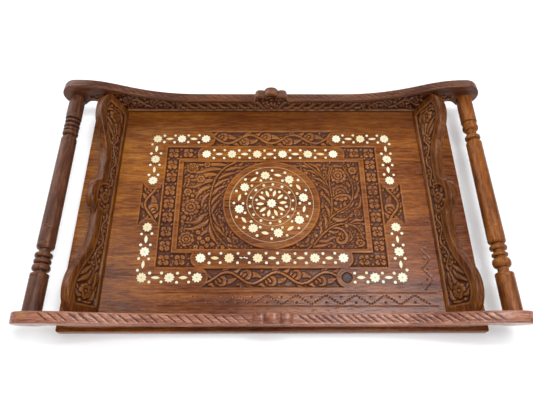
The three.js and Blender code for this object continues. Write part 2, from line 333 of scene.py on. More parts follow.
    def fill(self, rng, tries, size, slant):
        """Small leaves and buds wherever the ground is still empty. slant gives their direction at a point."""
        margin = 0.62 * size
        free_x = rng.uniform(self.xs[0], self.xs[-1], tries)
        free_y = rng.uniform(self.ys[0], self.ys[-1], tries)
        spin = rng.uniform(-40, 40, tries)
        bud_from = 22 if size > 3 else 36  # a spin above this makes a bud
        for x, y, extra in zip(free_x, free_y, spin):
            win = self.window((x - margin, y - margin), (x + margin, y + margin))
            area = self.raised[win]
            if not area.size or (self.carved[win] < 0.3).mean() > 0.25 or (area > EMPTY).mean() > 0.22:
                continue
            if extra > bud_from:
                self.dome(x, y, 0.36 * size, top=-0.3, dimple=0.5)
                continue
            a = slant(x, y) + extra
            dx, dy = polar(0.5 * size, a)
            self.leaf(x - dx, y - dy, a, size, 0.5 * size, bend=0.2 * size, top=-0.35)

    def heights(self):
        """The finished height field."""
        rng = np.random.default_rng(GROUND_SEED)
        ground = -self.depth + 0.22 * blur(rng.normal(0, 1, self.x.shape), 1)
        wall = smoothstep(self.carved / 0.9)
        standing = np.where(self.raised > EMPTY, np.minimum(self.raised, -0.04), EMPTY)
        standing = np.maximum(standing, ground) * smoothstep(self.carved / 0.35)
        height = np.maximum(np.maximum(-self.depth * 1.05 * wall, standing), ground * wall)
        return np.where(self.carved > 0, height, 0) + self.cuts

    def bare(self, height):
        """1 on the open ground between the shapes and 0 on them."""
        low = np.clip((-height / self.depth - 0.6) / 0.25, 0, 1)
        return np.minimum(low, np.clip(1.6 * blur(low, 1) - 0.3, 0, 1))

    def sample(self, field, x, y):
        """The field between the grid's points."""
        fx = np.clip((x - self.xs[0]) / (self.xs[1] - self.xs[0]), 0, len(self.xs) - 1.001)
        fy = np.clip((y - self.ys[0]) / (self.ys[1] - self.ys[0]), 0, len(self.ys) - 1.001)
        i, j = fx.astype(int), fy.astype(int)
        u, v = fx - i, fy - j
        low = field[j, i] * (1 - u) + field[j, i + 1] * u
        high = field[j + 1, i] * (1 - u) + field[j + 1, i + 1] * u
        return low * (1 - v) + high * v


def blur(field, radius, rounds=2):
    """Repeated box blur over a grid."""
    count = 2 * radius + 1
    for _ in range(rounds):
        for _ in (0, 1):  # down the columns, then down the rows
            total = np.cumsum(np.pad(field, [(radius + 1, radius), (0, 0)], mode="edge"), axis=0)
            field = ((total[count:] - total[:-count]) / count).T
    return field


def cavity(height):
    """How far a point lies below what is round it, and a little of how far below the plain surface."""
    crease_share, depth_share, steps_round = 1.65, 0.18, 2
    return crease_share * (height - blur(height, steps_round)) + depth_share * np.clip(height + 0.4, -1.5, 0)


def capsule(x, y, half_length, radius):
    """Distance inside a bar with round ends along X."""
    return radius - np.hypot(np.maximum(np.abs(x) - half_length, 0), y)


def box_inside(x, y, x0, x1, y0, y1):
    """Distance inside a rectangle."""
    return np.minimum(np.minimum(x - x0, x1 - x), np.minimum(y - y0, y1 - y))


def turning(a, c, angle, length, turn, tighten=0.0, steps=36):
    """Points of a path that sets out at an angle and turns by `turn` degrees, tighter towards its end."""
    t = np.arange(steps) / steps
    rate = (1 - tighten) + 2 * tighten * t
    heading = np.radians(angle) + np.radians(turn) * np.cumsum(rate) / steps
    step = length / steps * (1 - 0.55 * tighten * t)
    path = np.cumsum(pairs(step * np.cos(heading), step * np.sin(heading)), axis=0)
    return np.vstack([[(a, c)], path + (a, c)])


def vine(relief, place, start, end, amplitude, wave, phase, leaf, width):
    """A wavy stem with a curled, fluted leaf in each bend. place maps (along, across) points to the face."""

    def put(along, across, angle, length, turn, wide, lines=0.4, tighten=0.0, taper=0.7):
        path = turning(along, across, angle, length * leaf, turn, tighten)
        t = np.linspace(0, 1, len(path))
        half = 0.5 * wide * leaf * (0.3 + 0.8 * np.sin(math.pi * t**0.85)) * (1 - taper * t**3)
        relief.stroke(place(path), np.maximum(half, 0.3), top=-0.12, fall=0.45, crown=0.6, lines=lines, groove=0.2)

    first = math.floor((start + phase) / (wave / 2))
    last = math.ceil((end + phase) / (wave / 2))
    for k in range(first, last + 1):
        mid = (k + 0.5) * wave / 2 - phase  # the middle of this bend
        if not start - wave / 4 < mid < end + wave / 4:
            continue
        up = 1 if k % 2 == 0 else -1
        root = mid - 0.25 * wave
        put(mid - 0.10 * wave, up * 0.7 * amplitude, up * 66, 0.8, -up * 55, 0.42)
        put(mid + 0.10 * wave, up * 0.8 * amplitude, up * 20, 0.9, up * 30, 0.34)
        put(root + 0.02 * wave, -up * 0.1 * leaf, -up * 70, 0.75, up * 40, 0.36)
        put(root + 0.05 * wave, 0.0, -up * 42, 2.0, up * 95, 0.52, lines=0.45)
        put(root + 0.07 * wave, up * 0.14 * leaf, up * 4, 1.7, -up * 240, 0.36, tighten=0.4, taper=0.07)
    a = np.arange(start, end, 0.6)
    wavy = pairs(a, amplitude * np.sin(TAU * (a + phase) / wave))
    relief.stroke(place(wavy), width, top=-0.06, crown=0.4, groove=0.35)


# ---------------------------------------------------------------- the base board's carving

STRIP_Y, STRIP_HALF, STRIP_RADIUS = 57.4, 67.0, 9.45
PAD_RADIUS = 9.6
CORNER_X, CORNER_Y = 120.1, 76.4
ARM_X, ARM_Y = 69.1, 25.8
FIELD_X, FIELD_Y = 90.6, 48.4
BAND_X, BAND_Y = 108.7, 66.4  # outer edges of the floret bands

board = Relief((-131, 150.6), (-104, 87), 0.546, 2.0)
bx, by = board.x, board.y
ax, ay = np.abs(bx), np.abs(by)

strip = capsule(bx, ay - STRIP_Y, STRIP_HALF, STRIP_RADIUS)
pad_x = PAD_RADIUS - np.hypot(ax - ARM_X, ay - CORNER_Y)
pad_y = PAD_RADIUS - np.hypot(ax - CORNER_X, ay - ARM_Y)
field = np.minimum(box_inside(bx, by, -FIELD_X, FIELD_X, -FIELD_Y, FIELD_Y), np.hypot(bx, by) - DISC_RADIUS)
floret_sides = np.minimum(box_inside(ax, by, 95.3, BAND_X, -BAND_Y, BAND_Y), -strip)
floret_ends = np.minimum(box_inside(ax, ay, 64, BAND_X, 51.9, BAND_Y), -strip)
long_bands = np.minimum(box_inside(ax, ay, -1, 69, 67.2, 85.8), -pad_x)
side_bands = np.minimum(box_inside(ax, ay, 110.0, 130.0, -1, 25), -pad_y)
for area in (field, floret_sides, floret_ends, long_bands, side_bands):
    board.carve(area)

# Floret bands, with a bud between each two florets.
for sx in (1, -1):
    for y in range(-45, 46, 15):
        board.floret(sx * 102.0, y, 6.6)
        board.dome(sx * 97.2, y + 7.5, 1.3, top=-0.5)
        board.dome(sx * 106.8, y + 7.5, 1.3, top=-0.5)
    for sy in (1, -1):
        board.floret(sx * 101.8, sy * 59.2, 6.8)
        board.floret(sx * 86.6, sy * 59.2, 6.6)
        board.dome(sx * 94.2, sy * 63.6, 1.4, top=-0.5)
        board.dome(sx * 94.2, sy * 55.0, 1.4, top=-0.5)

# Vine scrolls in the outer bands: the area, where the vine lies in it, its half length, wave, phase and leaf.
for area, place, half, wave, phase, leaf in (
    (long_bands, lambda p: pairs(p[:, 0], -76.5 + p[:, 1]), 68, 46, 7, 11.2),
    (long_bands, lambda p: pairs(p[:, 0], 76.5 - p[:, 1]), 68, 46, 11, 11.2),
    (side_bands, lambda p: pairs(120 + p[:, 1], p[:, 0]), 26, 44, 11, 11.5),
    (side_bands, lambda p: pairs(-120 - p[:, 1], p[:, 0]), 26, 44, 11, 11.5),
):
    board.limit = area
    vine(board, place, -half, half, 5.4, wave, phase, leaf, 1.25)
board.limit = field


def slender(angles, width, steps):
    """Slender leaves between a stem and the medallion, each one through (turn, radius) steps from its angle."""
    for degrees in angles:
        board.blade([polar(r, degrees + turn) for turn, r in steps], width)


# Left half of the inner field: a stem round the medallion, fluted leaves, rosettes and berries.
for points, width in (
    ([(-44, 44), (-58, 46), (-72, 45), (-86, 46)], 4.2),
    ([(-50, 39), (-62, 40), (-74, 36), (-88, 37)], 4.6),
    ([(-54, 33), (-66, 33), (-78, 27), (-90, 29)], 4.8),
    ([(-57, 27), (-68, 25), (-78, 19), (-89, 20)], 4.6),
    ([(-60, 20), (-68, 17), (-74, 10), (-76, 2)], 4.4),
    ([(-61, 12), (-66, 8), (-69, 0), (-68, -8)], 3.8),
    ([(-61, -10), (-68, -14), (-74, -20), (-88, -20)], 4.6),
    ([(-60, -16), (-66, -22), (-76, -27), (-88, -27)], 4.4),
    ([(-59, -20), (-62, -28), (-68, -34), (-70, -44)], 4.0),
    ([(-60, -14), (-57, -25), (-51, -36), (-42, -45)], 4.2),
    ([(-58, -12), (-54, -24), (-47, -33), (-38, -40)], 3.8),
    ([(-60, -20), (-59, -31), (-54, -40), (-46, -47)], 4.0),
    ([(-60, -4), (-57, -14), (-53, -22), (-47, -27)], 3.6),
):
    board.blade(points, width)
slender((140, 150, 160, 170, 180, 189), 3.6, ((2, 60.5), (-3, 58.5), (-8, 55.5), (-13, 52.0), (-17, 50.2)))
for x, y, radius, petals, layers, turn in (
    (-80, -4, 9.6, 9, 2, 0),
    (-81, 41, 6.2, 8, 2, 0.3),
    (-66, 45, 3.6, 6, 1, 0),
    (-82, -38, 8.0, 8, 2, 0.2),
    (-72, 28, 4.6, 6, 1, 0),
    (-84, 13, 4.4, 6, 1, 0),
):
    board.rosette(x, y, radius, petals, layers, turn)
for x, y in (
    *((-66, -41), (-61.5, -38), (-62, -44.5), (-57, -43.5), (-69.5, -37)),
    *((-72.5, -46), (-66.5, -47), (-71, -31), (-86, -15)),
):
    board.dome(x, y, 2.5, dimple=0.8)
left_stem = [(-37, 48), (-48, 41), (-56, 30), (-60, 16), (-61.5, 2), (-60.5, -12), (-57, -26), (-50, -38), (-40, -48)]
board.stem(left_stem, 0.85)

# Right half of the inner field: stems from the lower left, two large rosettes above, one below.
for points, width in (
    ([(38, -46), (47, -45), (56, -42), (63, -46)], 4.0),
    ([(43, -40), (52, -40), (60, -36), (64, -40)], 4.0),
    ([(52, -26), (58, -31), (64, -30), (66, -25)], 3.6),
    ([(57, -14), (64, -18), (72, -17), (77, -12)], 4.2),
    ([(60, -4), (67, -8), (74, -6), (80, 0)], 4.2),
    ([(78, 4), (84, 8), (88, 16), (86, 26)], 3.8),
    ([(80, -6), (86, -4), (89, 4), (88, 12)], 3.4),
    ([(58, 12), (54, 20), (54, 28), (58, 34)], 3.6),
    ([(56, 26), (60, 34), (60, 42), (54, 46)], 3.8),
    ([(60, 42), (66, 44), (74, 43), (78, 46)], 3.6),
    ([(46, 40), (40, 42), (34, 47), (30, 48)], 3.2),
    ([(50, 36), (46, 43), (40, 46), (36, 48)], 3.0),
    ([(80, -26), (86, -28), (88, -33), (86, -38)], 3.6),
    ([(76, -22), (82, -18), (88, -18), (90, -12)], 3.6),
):
    board.blade(points, width)
for x, y, radius, petals, layers, turn in (
    (68, 32, 9.0, 11, 2, 0),
    (69, 12, 9.8, 11, 2, 0.35),
    (71, -35, 7.6, 9, 2, 0),
    (84.5, -42, 4.8, 6, 1, 0),
    (83, 38, 4.6, 7, 1, 0),
    (84, -10, 4.0, 6, 1, 0),
):
    board.rosette(x, y, radius, petals, layers, turn)
slender((-38, -26, -14, -2, 10, 22, 34, 44), 3.4, ((-2, 59.5), (3, 58.0), (8, 55.5), (13, 52.0), (16, 50.3)))
for x, y, angle, size in ((52, -29, 36, 7.5), (60, 3, 60, 7), (79, -22, 20, 7)):
    board.curl(x, y, angle, size, -1)
for points in (
    [(34, -48), (44, -39), (52, -28), (58, -14), (60, 0), (59, 14), (54, 27), (45, 38), (34, 47)],
    [(40, -44), (50, -32), (61, -24), (73, -22), (83, -27), (88, -38)],
    [(57, -16), (64, -10), (74, -4), (80, 4), (82, 16), (80, 28), (74, 42)],
    [(60, 8), (59, 20), (59, 30), (63, 42)],
):
    board.stem(points, 0.8)

# Small leaves wherever the ground is still bare, turned round the medallion.
fill_rng = np.random.default_rng(11)
for area, tries, size, turn in (
    (field, 2500, 6.0, 90),
    (field, 6000, 3.4, 60),
    (field, 9000, 2.4, 20),
    (None, 1500, 3.6, 60),
):
    board.limit = area
    board.fill(fill_rng, tries, size, lambda x, y: math.degrees(math.atan2(y, x)) + turn)


def darken(win, amount):
    """Dark filler, or a darker colour, over a part of the board."""
    board.dark_marks[win] = np.maximum(board.dark_marks[win], amount)


# Scribed borders and the punched zigzag of the front margin, which turns up the right margin and fades.
SCRIBED_FROM, SCRIBED_TO, SCRIBED_HALF_WIDTH = -104, 149, 0.45
for y in (-90.6, -103.0):
    line = 0.4 * np.exp(-(((by - y) / SCRIBED_HALF_WIDTH) ** 2))
    board.cuts -= np.where((bx > SCRIBED_FROM) & (bx < SCRIBED_TO), line, 0)
punch_rng = np.random.default_rng(3)


def punch(x, y, depth, radius, darkening):
    """One punched dot, with a darker colour in it."""
    win, dx, dy = board.near(x, y, 2)
    mark = depth * np.exp(-((np.hypot(dx, dy) / radius) ** 2))
    board.cuts[win] -= mark
    darken(win, darkening * mark)


def zigzag(corners, strengths):
    """Rows of dots between the corners, and a larger dot in each gap."""
    dots_a_row = 6
    for (x0, y0), (x1, y1), strength in zip(corners, corners[1:], strengths):
        for k in range(dots_a_row):
            t = (k + 0.5) / dots_a_row
            punch(x0 + (x1 - x0) * t, y0 + (y1 - y0) * t, strength * punch_rng.uniform(0.7, 1.2), 0.6, 2.0)
    for (x0, y0), (x1, y1), (x2, y2), strength in zip(corners, corners[1:], corners[2:], strengths):
        punch(0.3 * (x0 + x2) + 0.4 * x1, 0.4 * (y0 + y2) + 0.2 * y1, 0.6 * min(1, 2 * strength), 0.75, 1.4)


front_x = np.arange(-99, 150, 13.4)
front_corners = [(x, -92.6 if i % 2 else -101.4) for i, x in enumerate(front_x)]
zigzag(front_corners, 0.3 + 0.45 * smoothstep((front_x + 60) / 90))
side_corners = [(148.0 if i % 2 else 139.5, y) for i, y in enumerate(np.arange(-88, -30, 10.0))]
zigzag(side_corners, (0.5, 0.45, 0.4, 0.3, 0.2))


# ---------------------------------------------------------------- inlay places


STRIPS = (("front", -STRIP_Y, 0.0, 26.8), ("back", STRIP_Y, -1.4, 26.4))  # y, middle and pitch
CORNERS = (("front_left", -1, -1), ("front_right", 1, -1), ("back_left", -1, 1), ("back_right", 1, 1))
ARM_PITCH_X, ARM_PITCH_Y = 25.5, 25.3
FIRST_FLOWER = 101.2  # direction of the medallion's first flower, in degrees


def flower_places():
    """CAD node name, x and y of each bone flower, the lost one among them."""
    out = []
    for side, y, middle, pitch in STRIPS:
        out += [(f"flower_strip_{side}_{i + 1}", middle + (i - 2.5) * pitch, y) for i in range(6)]
    for name, sx, sy in CORNERS:
        out.append((f"flower_corner_{name}", sx * CORNER_X, sy * CORNER_Y))
        for i in (1, 2):
            out.append((f"flower_arm_x_{name}_{i}", sx * (CORNER_X - i * ARM_PITCH_X), sy * CORNER_Y))
            out.append((f"flower_arm_y_{name}_{i}", sx * CORNER_X, sy * (CORNER_Y - i * ARM_PITCH_Y)))
    out += [(f"flower_medallion_{i + 1}", *polar(32.4, FIRST_FLOWER - 45 * i)) for i in range(8)]
    return out + [("flower_centre", 0.0, 0.0)]


FLOWERS = flower_places()
LOST = "flower_arm_x_front_right_2"
LOST_XY = next((x, y) for name, x, y in FLOWERS if name == LOST)

lozenges, dots = [], []  # (x, y, angle in degrees) and (x, y)


def gap_inlay(x, y, angle, dot_along, dot_across, skip=None):
    """One lozenge and the four dots round it, but for one that a neighbouring gap already has."""
    lozenges.append((x, y, angle))
    c, s = polar(1.0, angle)
    for u in (-dot_along, dot_along):
        for v in (-dot_across, dot_across):
            if skip is None or u * skip[0] < 0 or v * skip[1] < 0:
                dots.append((x + u * c - v * s, y + u * s + v * c))


for _, y, middle, pitch in STRIPS:
    for i in range(5):
        gap_inlay(middle + (i - 2) * pitch, y, 0, 5.4, 4.6)
for sx in (1, -1):
    for sy in (1, -1):
        for i in (0, 1):
            gap_inlay(sx * (CORNER_X - (i + 0.5) * ARM_PITCH_X), sy * CORNER_Y, 0, 5.6, 4.3)
            y = sy * (CORNER_Y - (i + 0.5) * ARM_PITCH_Y)
            gap_inlay(sx * CORNER_X, y, 90, 5.8, 4.7, skip=(sy, sx) if i == 0 else None)
for i in range(8):
    a = FIRST_FLOWER - (i + 0.5) * 45
    lozenges.append((*polar(32.6, a), a + 90))
    for step in (-10.5, 10.5):
        dots += [polar(37.6, a + step), polar(28.0, a + step * 1.1)]
dots += [polar(21.5, 360 * (i + 0.35) / 14) for i in range(14)]
for i in range(10):
    a = 36 * (i + 0.1)
    lozenges.append((*polar(11.3, a), a))
    dots.append(polar(15.2, a + 18))

# Dark filler shows as a thin line round each piece of inlay.
for x, y, r in [(x, y, 4.9) for _, x, y in FLOWERS] + [(x, y, 1.75) for x, y in dots]:
    win, dx, dy = board.near(x, y, r + 1)
    darken(win, 0.8 * smoothstep((r + 0.35 - np.hypot(dx, dy)) / 0.7))
for x, y, angle in lozenges:
    win, dx, dy = board.near(x, y, 6)
    c, s = polar(1.0, angle)
    inside = 1.9 * (1 - ((dx * c + dy * s) / 5.0) ** 2) - np.abs(dy * c - dx * s)
    darken(win, 0.8 * smoothstep(inside / 0.6))

# The pocket of the lost flower.
POCKET_RADIUS, POCKET_DEPTH = 5.2, 1.2
win, dx, dy = board.near(*LOST_XY, 7)
from_pocket = np.hypot(dx, dy)
board.cuts[win] -= POCKET_DEPTH * smoothstep((POCKET_RADIUS - from_pocket) / 0.6)
darken(win, 0.5 * smoothstep((POCKET_RADIUS + 0.1 - from_pocket) / 0.5))

board_height = board.heights()
board_tones = {
    "hollow": cavity(board_height),
    "dark_marks": board.dark_marks,
    "bare": board.bare(board_height) * (0.08 + 0.4 * smoothstep((bx - 0.4 * by + 10) / 60)),
}


# ---------------------------------------------------------------- materials


def srgb(r, g, b):
    """A colour from its 0-255 screen values."""
    return tuple(((c / 255 + 0.055) / 1.055) ** 2.4 if c > 10 else c / 255 / 12.92 for c in (r, g, b)) + (1.0,)


class Shader:
    """A small help for making node trees."""

    def __init__(self, name):
        self.material = bpy.data.materials.new(name)
        self.material.use_nodes = True
        self.tree = self.material.node_tree
        self.surface = self.tree.nodes["Principled BSDF"]

    def add(self, kind, out=0, settings=None, **inputs):
        node = self.tree.nodes.new(kind)
        for key, value in (settings or {}).items():
            setattr(node, key, value)
        for key, value in inputs.items():
            socket = node.inputs[int(key[1:])] if key[0] == "_" else node.inputs[key]
            self.feed(socket, value)
        return node.outputs[out]

    def feed(self, socket, value):
        if isinstance(value, bpy.types.NodeSocket):
            self.tree.links.new(value, socket)
        else:
            socket.default_value = value

    def math(self, operation, a, b, clamp=False):
        return self.add("ShaderNodeMath", settings={"operation": operation, "use_clamp": clamp}, _0=a, _1=b)

    def times(self, a, b):
        return self.math("MULTIPLY", a, b)

    def plus(self, a, b, clamp=False):
        return self.math("ADD", a, b, clamp)

    def mix(self, factor, a, b, blend="MIX"):
        settings = {"data_type": "RGBA", "blend_type": blend}
        return self.add("ShaderNodeMix", out=2, settings=settings, _0=factor, _6=a, _7=b)

    def ramp(self, value, stops):
        node = self.tree.nodes.new("ShaderNodeValToRGB")
        self.tree.links.new(value, node.inputs[0])
        ramp = node.color_ramp
        while len(ramp.elements) < len(stops):
            ramp.elements.new(0.5)
        for element, (at, colour) in zip(ramp.elements, stops):
            element.position, element.color = at, colour
        return node.outputs[0]

    def stretch(self, low, high, value):
        """Maps low..high to 0..1."""
        return self.add("ShaderNodeMapRange", Value=value, **{"From Min": low, "From Max": high})

    def noise(self, scale, detail, roughness, distortion=0.0, shift=(0, 0, 0)):
        """Noise in object coordinates, scaled and then shifted. scale is one number or one for each axis."""
        scale = scale if isinstance(scale, tuple) else (scale,) * 3
        coords = self.add("ShaderNodeTexCoord", out=3)
        vector = self.add("ShaderNodeMapping", Vector=coords, Location=shift, Scale=scale)
        settings = {"Detail": detail, "Roughness": roughness, "Distortion": distortion}
        return self.add("ShaderNodeTexNoise", Vector=vector, Scale=1.0, **settings)

    def tone(self, name):
        """A value stored on the mesh's points."""
        return self.add("ShaderNodeAttribute", out=2, settings={"attribute_name": name})

    def finish(self, colour, rough, height, strength, distance, **constants):
        """Feeds the surface, and sets what is the same all over it."""
        bump = self.add("ShaderNodeBump", Height=height, Strength=strength, Distance=distance)
        for socket, value in (("Base Color", colour), ("Roughness", rough), ("Normal", bump)):
            self.feed(self.surface.inputs[socket], value)
        for socket, value in constants.items():
            self.surface.inputs[socket.replace("_", " ")].default_value = value
        return self.material


WARM, PAINTED_SHEEN_TINT = srgb(255, 251, 188), srgb(212, 194, 214)
DUST, CREASE_STAIN_AND_SHADE, WEAR_AND_HIGHLIGHT, FILLER = srgb(150, 112, 66), srgb(58, 14, 2), srgb(184, 124, 66), srgb(34, 20, 12)


def wood(name, colours, along_y=False, shift=(0, 0, 0), painted_sheen_and_shadow=False, carved=True, gloss=0.25, coat=0.05, shine=0.25):
    """Oiled rosewood: streaks, fibres and pores along the grain, painted shade and dark stain in the cuts, and wear
    with a painted highlight on the edges.
    """
    s = Shader(name)
    dark, middle, light = (srgb(*c) for c in colours)

    def grain_noise(along, across, detail, roughness, distortion=0.0):
        scale = (across, along, across) if along_y else (along, across, across)
        return s.noise(scale, detail, roughness, distortion, shift)

    streaks = grain_noise(11, 150, 6.0, 0.68, 0.8)
    fibres = grain_noise(70, 520, 4.0, 0.7)
    patches = grain_noise(12, 22, 3.0, 0.6)
    pores = s.stretch(0.57, 0.68, grain_noise(150, 1000, 2.0, 0.5))
    figure = s.plus(s.plus(s.times(streaks, 0.42), s.times(fibres, 0.40)), s.times(patches, 0.28))
    colour = s.ramp(figure, [(0.43, dark), (0.55, middle), (0.67, light)])
    if painted_sheen_and_shadow:  # painted light: yellower at the back left, redder with a painted sheen at the front right, and a painted shadow of the back rail along the back edge
        xyz = s.tree.nodes.new("ShaderNodeSeparateXYZ")
        s.tree.links.new(s.add("ShaderNodeTexCoord", out=3), xyz.inputs[0])
        x, y = xyz.outputs[0], xyz.outputs[1]
        lean = s.plus(s.plus(s.times(x, -2.3), s.times(y, 3.6)), s.times(patches, 0.5))
        share = s.plus(lean, 0.27, clamp=True)
        # Painted sheen: the colour is multiplied by a golden tint towards the back left and by a pinkish-grey, darker
        # sheen tint towards the front right.
        colour = s.mix(1.0, colour, s.mix(share, PAINTED_SHEEN_TINT, WARM), "MULTIPLY")
        # Painted shadow of the back rail: the board turns dark along its back edge.
        colour = s.mix(s.times(s.stretch(0.070, 0.100, y), 0.62), colour, dark)
    colour = s.mix(s.times(pores, 0.6), colour, dark)
    rough = s.plus(s.times(fibres, 0.24), gloss - 0.1)
    grain = s.plus(s.times(fibres, 0.5), s.times(streaks, 0.5))
    grain = s.math("SUBTRACT", grain, s.times(pores, 0.6))
    if carved:
        hollow = s.tone("hollow")
        deep = s.stretch(-0.01, -0.50, hollow)
        edge = s.stretch(0.06, 0.4, hollow)
        blotch = s.noise(60, 3.0, 0.6)
        dusty = s.times(s.tone("bare"), s.stretch(0.25, 0.65, s.noise(300, 3.0, 0.6)))
        colour = s.mix(dusty, colour, DUST)
        # Painted shade, with some dark stain, in the creases and hollows of the carving.
        colour = s.mix(s.times(deep, 0.9), colour, CREASE_STAIN_AND_SHADE)
        # Wear and a painted highlight: lighter on the raised edges of the carving.
        colour = s.mix(s.times(edge, s.times(blotch, 0.5)), colour, WEAR_AND_HIGHLIGHT)
        colour = s.mix(s.times(s.tone("dark_marks"), 0.85), colour, FILLER)
        rough = s.plus(rough, s.times(deep, 0.15))
        rough = s.math("SUBTRACT", rough, s.times(edge, 0.06))
    constants = {"Coat_Weight": coat, "Coat_Roughness": 0.22, "Specular_IOR_Level": shine}
    return s.finish(colour, rough, grain, 0.35, 0.0004, **constants)


def bone(name):
    """Polished bone, each piece a little creamier or whiter, with faint pores."""
    s = Shader(name)
    cloud = s.noise(260, 3.0, 0.6)
    specks = s.noise((1500, 900, 900), 2.0, 0.5)
    cream = s.mix(s.tone("shade"), srgb(228, 221, 194), srgb(214, 188, 122))
    colour = s.mix(s.times(cloud, 0.35), cream, srgb(236, 231, 212))
    colour = s.mix(s.times(s.stretch(0.62, 0.74, specks), 0.35), colour, srgb(190, 165, 110))
    rough = s.plus(s.times(cloud, 0.2), 0.3)
    return s.finish(colour, rough, specks, 0.25, 0.0002, Subsurface_Weight=0.08, Subsurface_Scale=0.001)


def metal(name, bright, dull, scale, roughness):
    """Worn metal with dull patches."""
    s = Shader(name)
    worn = s.noise(scale, 4.0, 0.6)
    colour = s.mix(s.stretch(0.4, 0.65, worn), srgb(*bright), srgb(*dull))
    rough = s.plus(s.times(worn, 0.3), roughness - 0.15)
    return s.finish(colour, rough, worn, 0.2, 0.0002, Metallic=0.6)


board_wood = wood("rosewood_board", ((80, 36, 11), (134, 75, 27), (172, 109, 46)), painted_sheen_and_shadow=True)
# Painted light on the rails: the front rail's colours are lighter and pinker for a painted sheen on its top, and the
# back rail's are darker for painted shade on its inner face.
FRONT_SHEEN_COLOURS = ((90, 48, 36), (146, 92, 70), (182, 128, 102))
BACK_SHADE_COLOURS = ((54, 24, 12), (92, 50, 28), (126, 78, 46))
WALL_COLOURS = ((53, 23, 8), (92, 48, 17), (128, 76, 32))
LEFT_COLOURS = ((60, 31, 19), (96, 56, 36), (130, 84, 56))
RIGHT_COLOURS = ((72, 33, 9), (120, 64, 20), (154, 92, 34))
TURNED = {"along_y": True, "carved": False, "gloss": 0.34, "coat": 0.0, "shine": 0.2}
front_sheen_wood = wood("rosewood_front_rail_painted_sheen", FRONT_SHEEN_COLOURS, shift=(3, 7, 2), gloss=0.24)
back_shade_wood = wood("rosewood_back_rail_painted_shade", BACK_SHADE_COLOURS, shift=(1, 4, 6), gloss=0.3)
wall_wood = wood("rosewood_wall", WALL_COLOURS, along_y=True, shift=(5, 1, 4), gloss=0.26, coat=0.04, shine=0.17)
left_turned = wood("rosewood_spindle_left", LEFT_COLOURS, shift=(1, 9, 2), **TURNED)
right_turned = wood("rosewood_spindle_right", RIGHT_COLOURS, shift=(8, 3, 5), **TURNED)
bone_material = bone("polished_bone")
wire_material = metal("inlaid_wire", (186, 170, 140), (140, 118, 84), 900, 0.45)
steel_material = metal("dull_steel", (140, 136, 130), (96, 88, 80), 500, 0.5)


# ---------------------------------------------------------------- the base board


BLOCK_FLOOR = 4.0  # the carved blocks reach down to here
BLOCK_X, BLOCK_Y = 92.8, 49.8  # the middle block, on plain wood between two bands
TONE_NAMES = ("hollow", "dark_marks", "bare")


def rectangle_ring(x0, x1, y0, y1, z, corner, per_side=24, per_corner=6):
    """Points round a rectangle with rounded corners, always the same number of them."""
    xa, xb, ya, yb = x0 + corner, x1 - corner, y0 + corner, y1 - corner
    arcs = []
    for quarter, (cx, cy) in enumerate(((xb, yb), (xa, yb), (xa, ya), (xb, ya))):
        turned = [polar(corner, 90 * (quarter + k / per_corner)) for k in range(per_corner + 1)]
        arcs.append([(cx + dx, cy + dy) for dx, dy in turned])
    ring = []
    for arc, following in zip(arcs, arcs[1:] + arcs[:1]):
        side = np.linspace(arc[-1], following[0], per_side + 1)[1:-1]
        ring += arc + [tuple(point) for point in side]
    return np.array([(x, y, z) for x, y in ring])


def board_body():
    """The board round and under the carved blocks, with softened outer edges."""
    soft, steps = 1.0, 5

    def inset_ring(dx, dy, z, corner=2.0):
        return rectangle_ring(dx - BASE_X, BASE_X - dx, dy - BASE_Y, BASE_Y - dy, z, corner)

    rounding = [polar(soft, 90 * k / steps) for k in range(steps + 1)]
    rings = [inset_ring(60, 40, 0, 30)]
    rings += [inset_ring(soft - sine, soft - sine, soft - cosine) for cosine, sine in rounding]
    rings += [inset_ring(soft - cosine, soft - cosine, TOP - soft + sine) for cosine, sine in rounding]
    rings.append(inset_ring(6, 6, TOP))
    for z in (TOP, BLOCK_FLOOR):
        rings.append(rectangle_ring(board.xs[0], board.xs[-1], board.ys[0], board.ys[-1], z, 0.01))
    verts, quads, tris = tube(rings)
    plain = {key: np.zeros(len(verts)) for key in TONE_NAMES}
    finish_piece(build("board_body", verts, quads, tris), board_wood, ["base_board"], 35, plain)


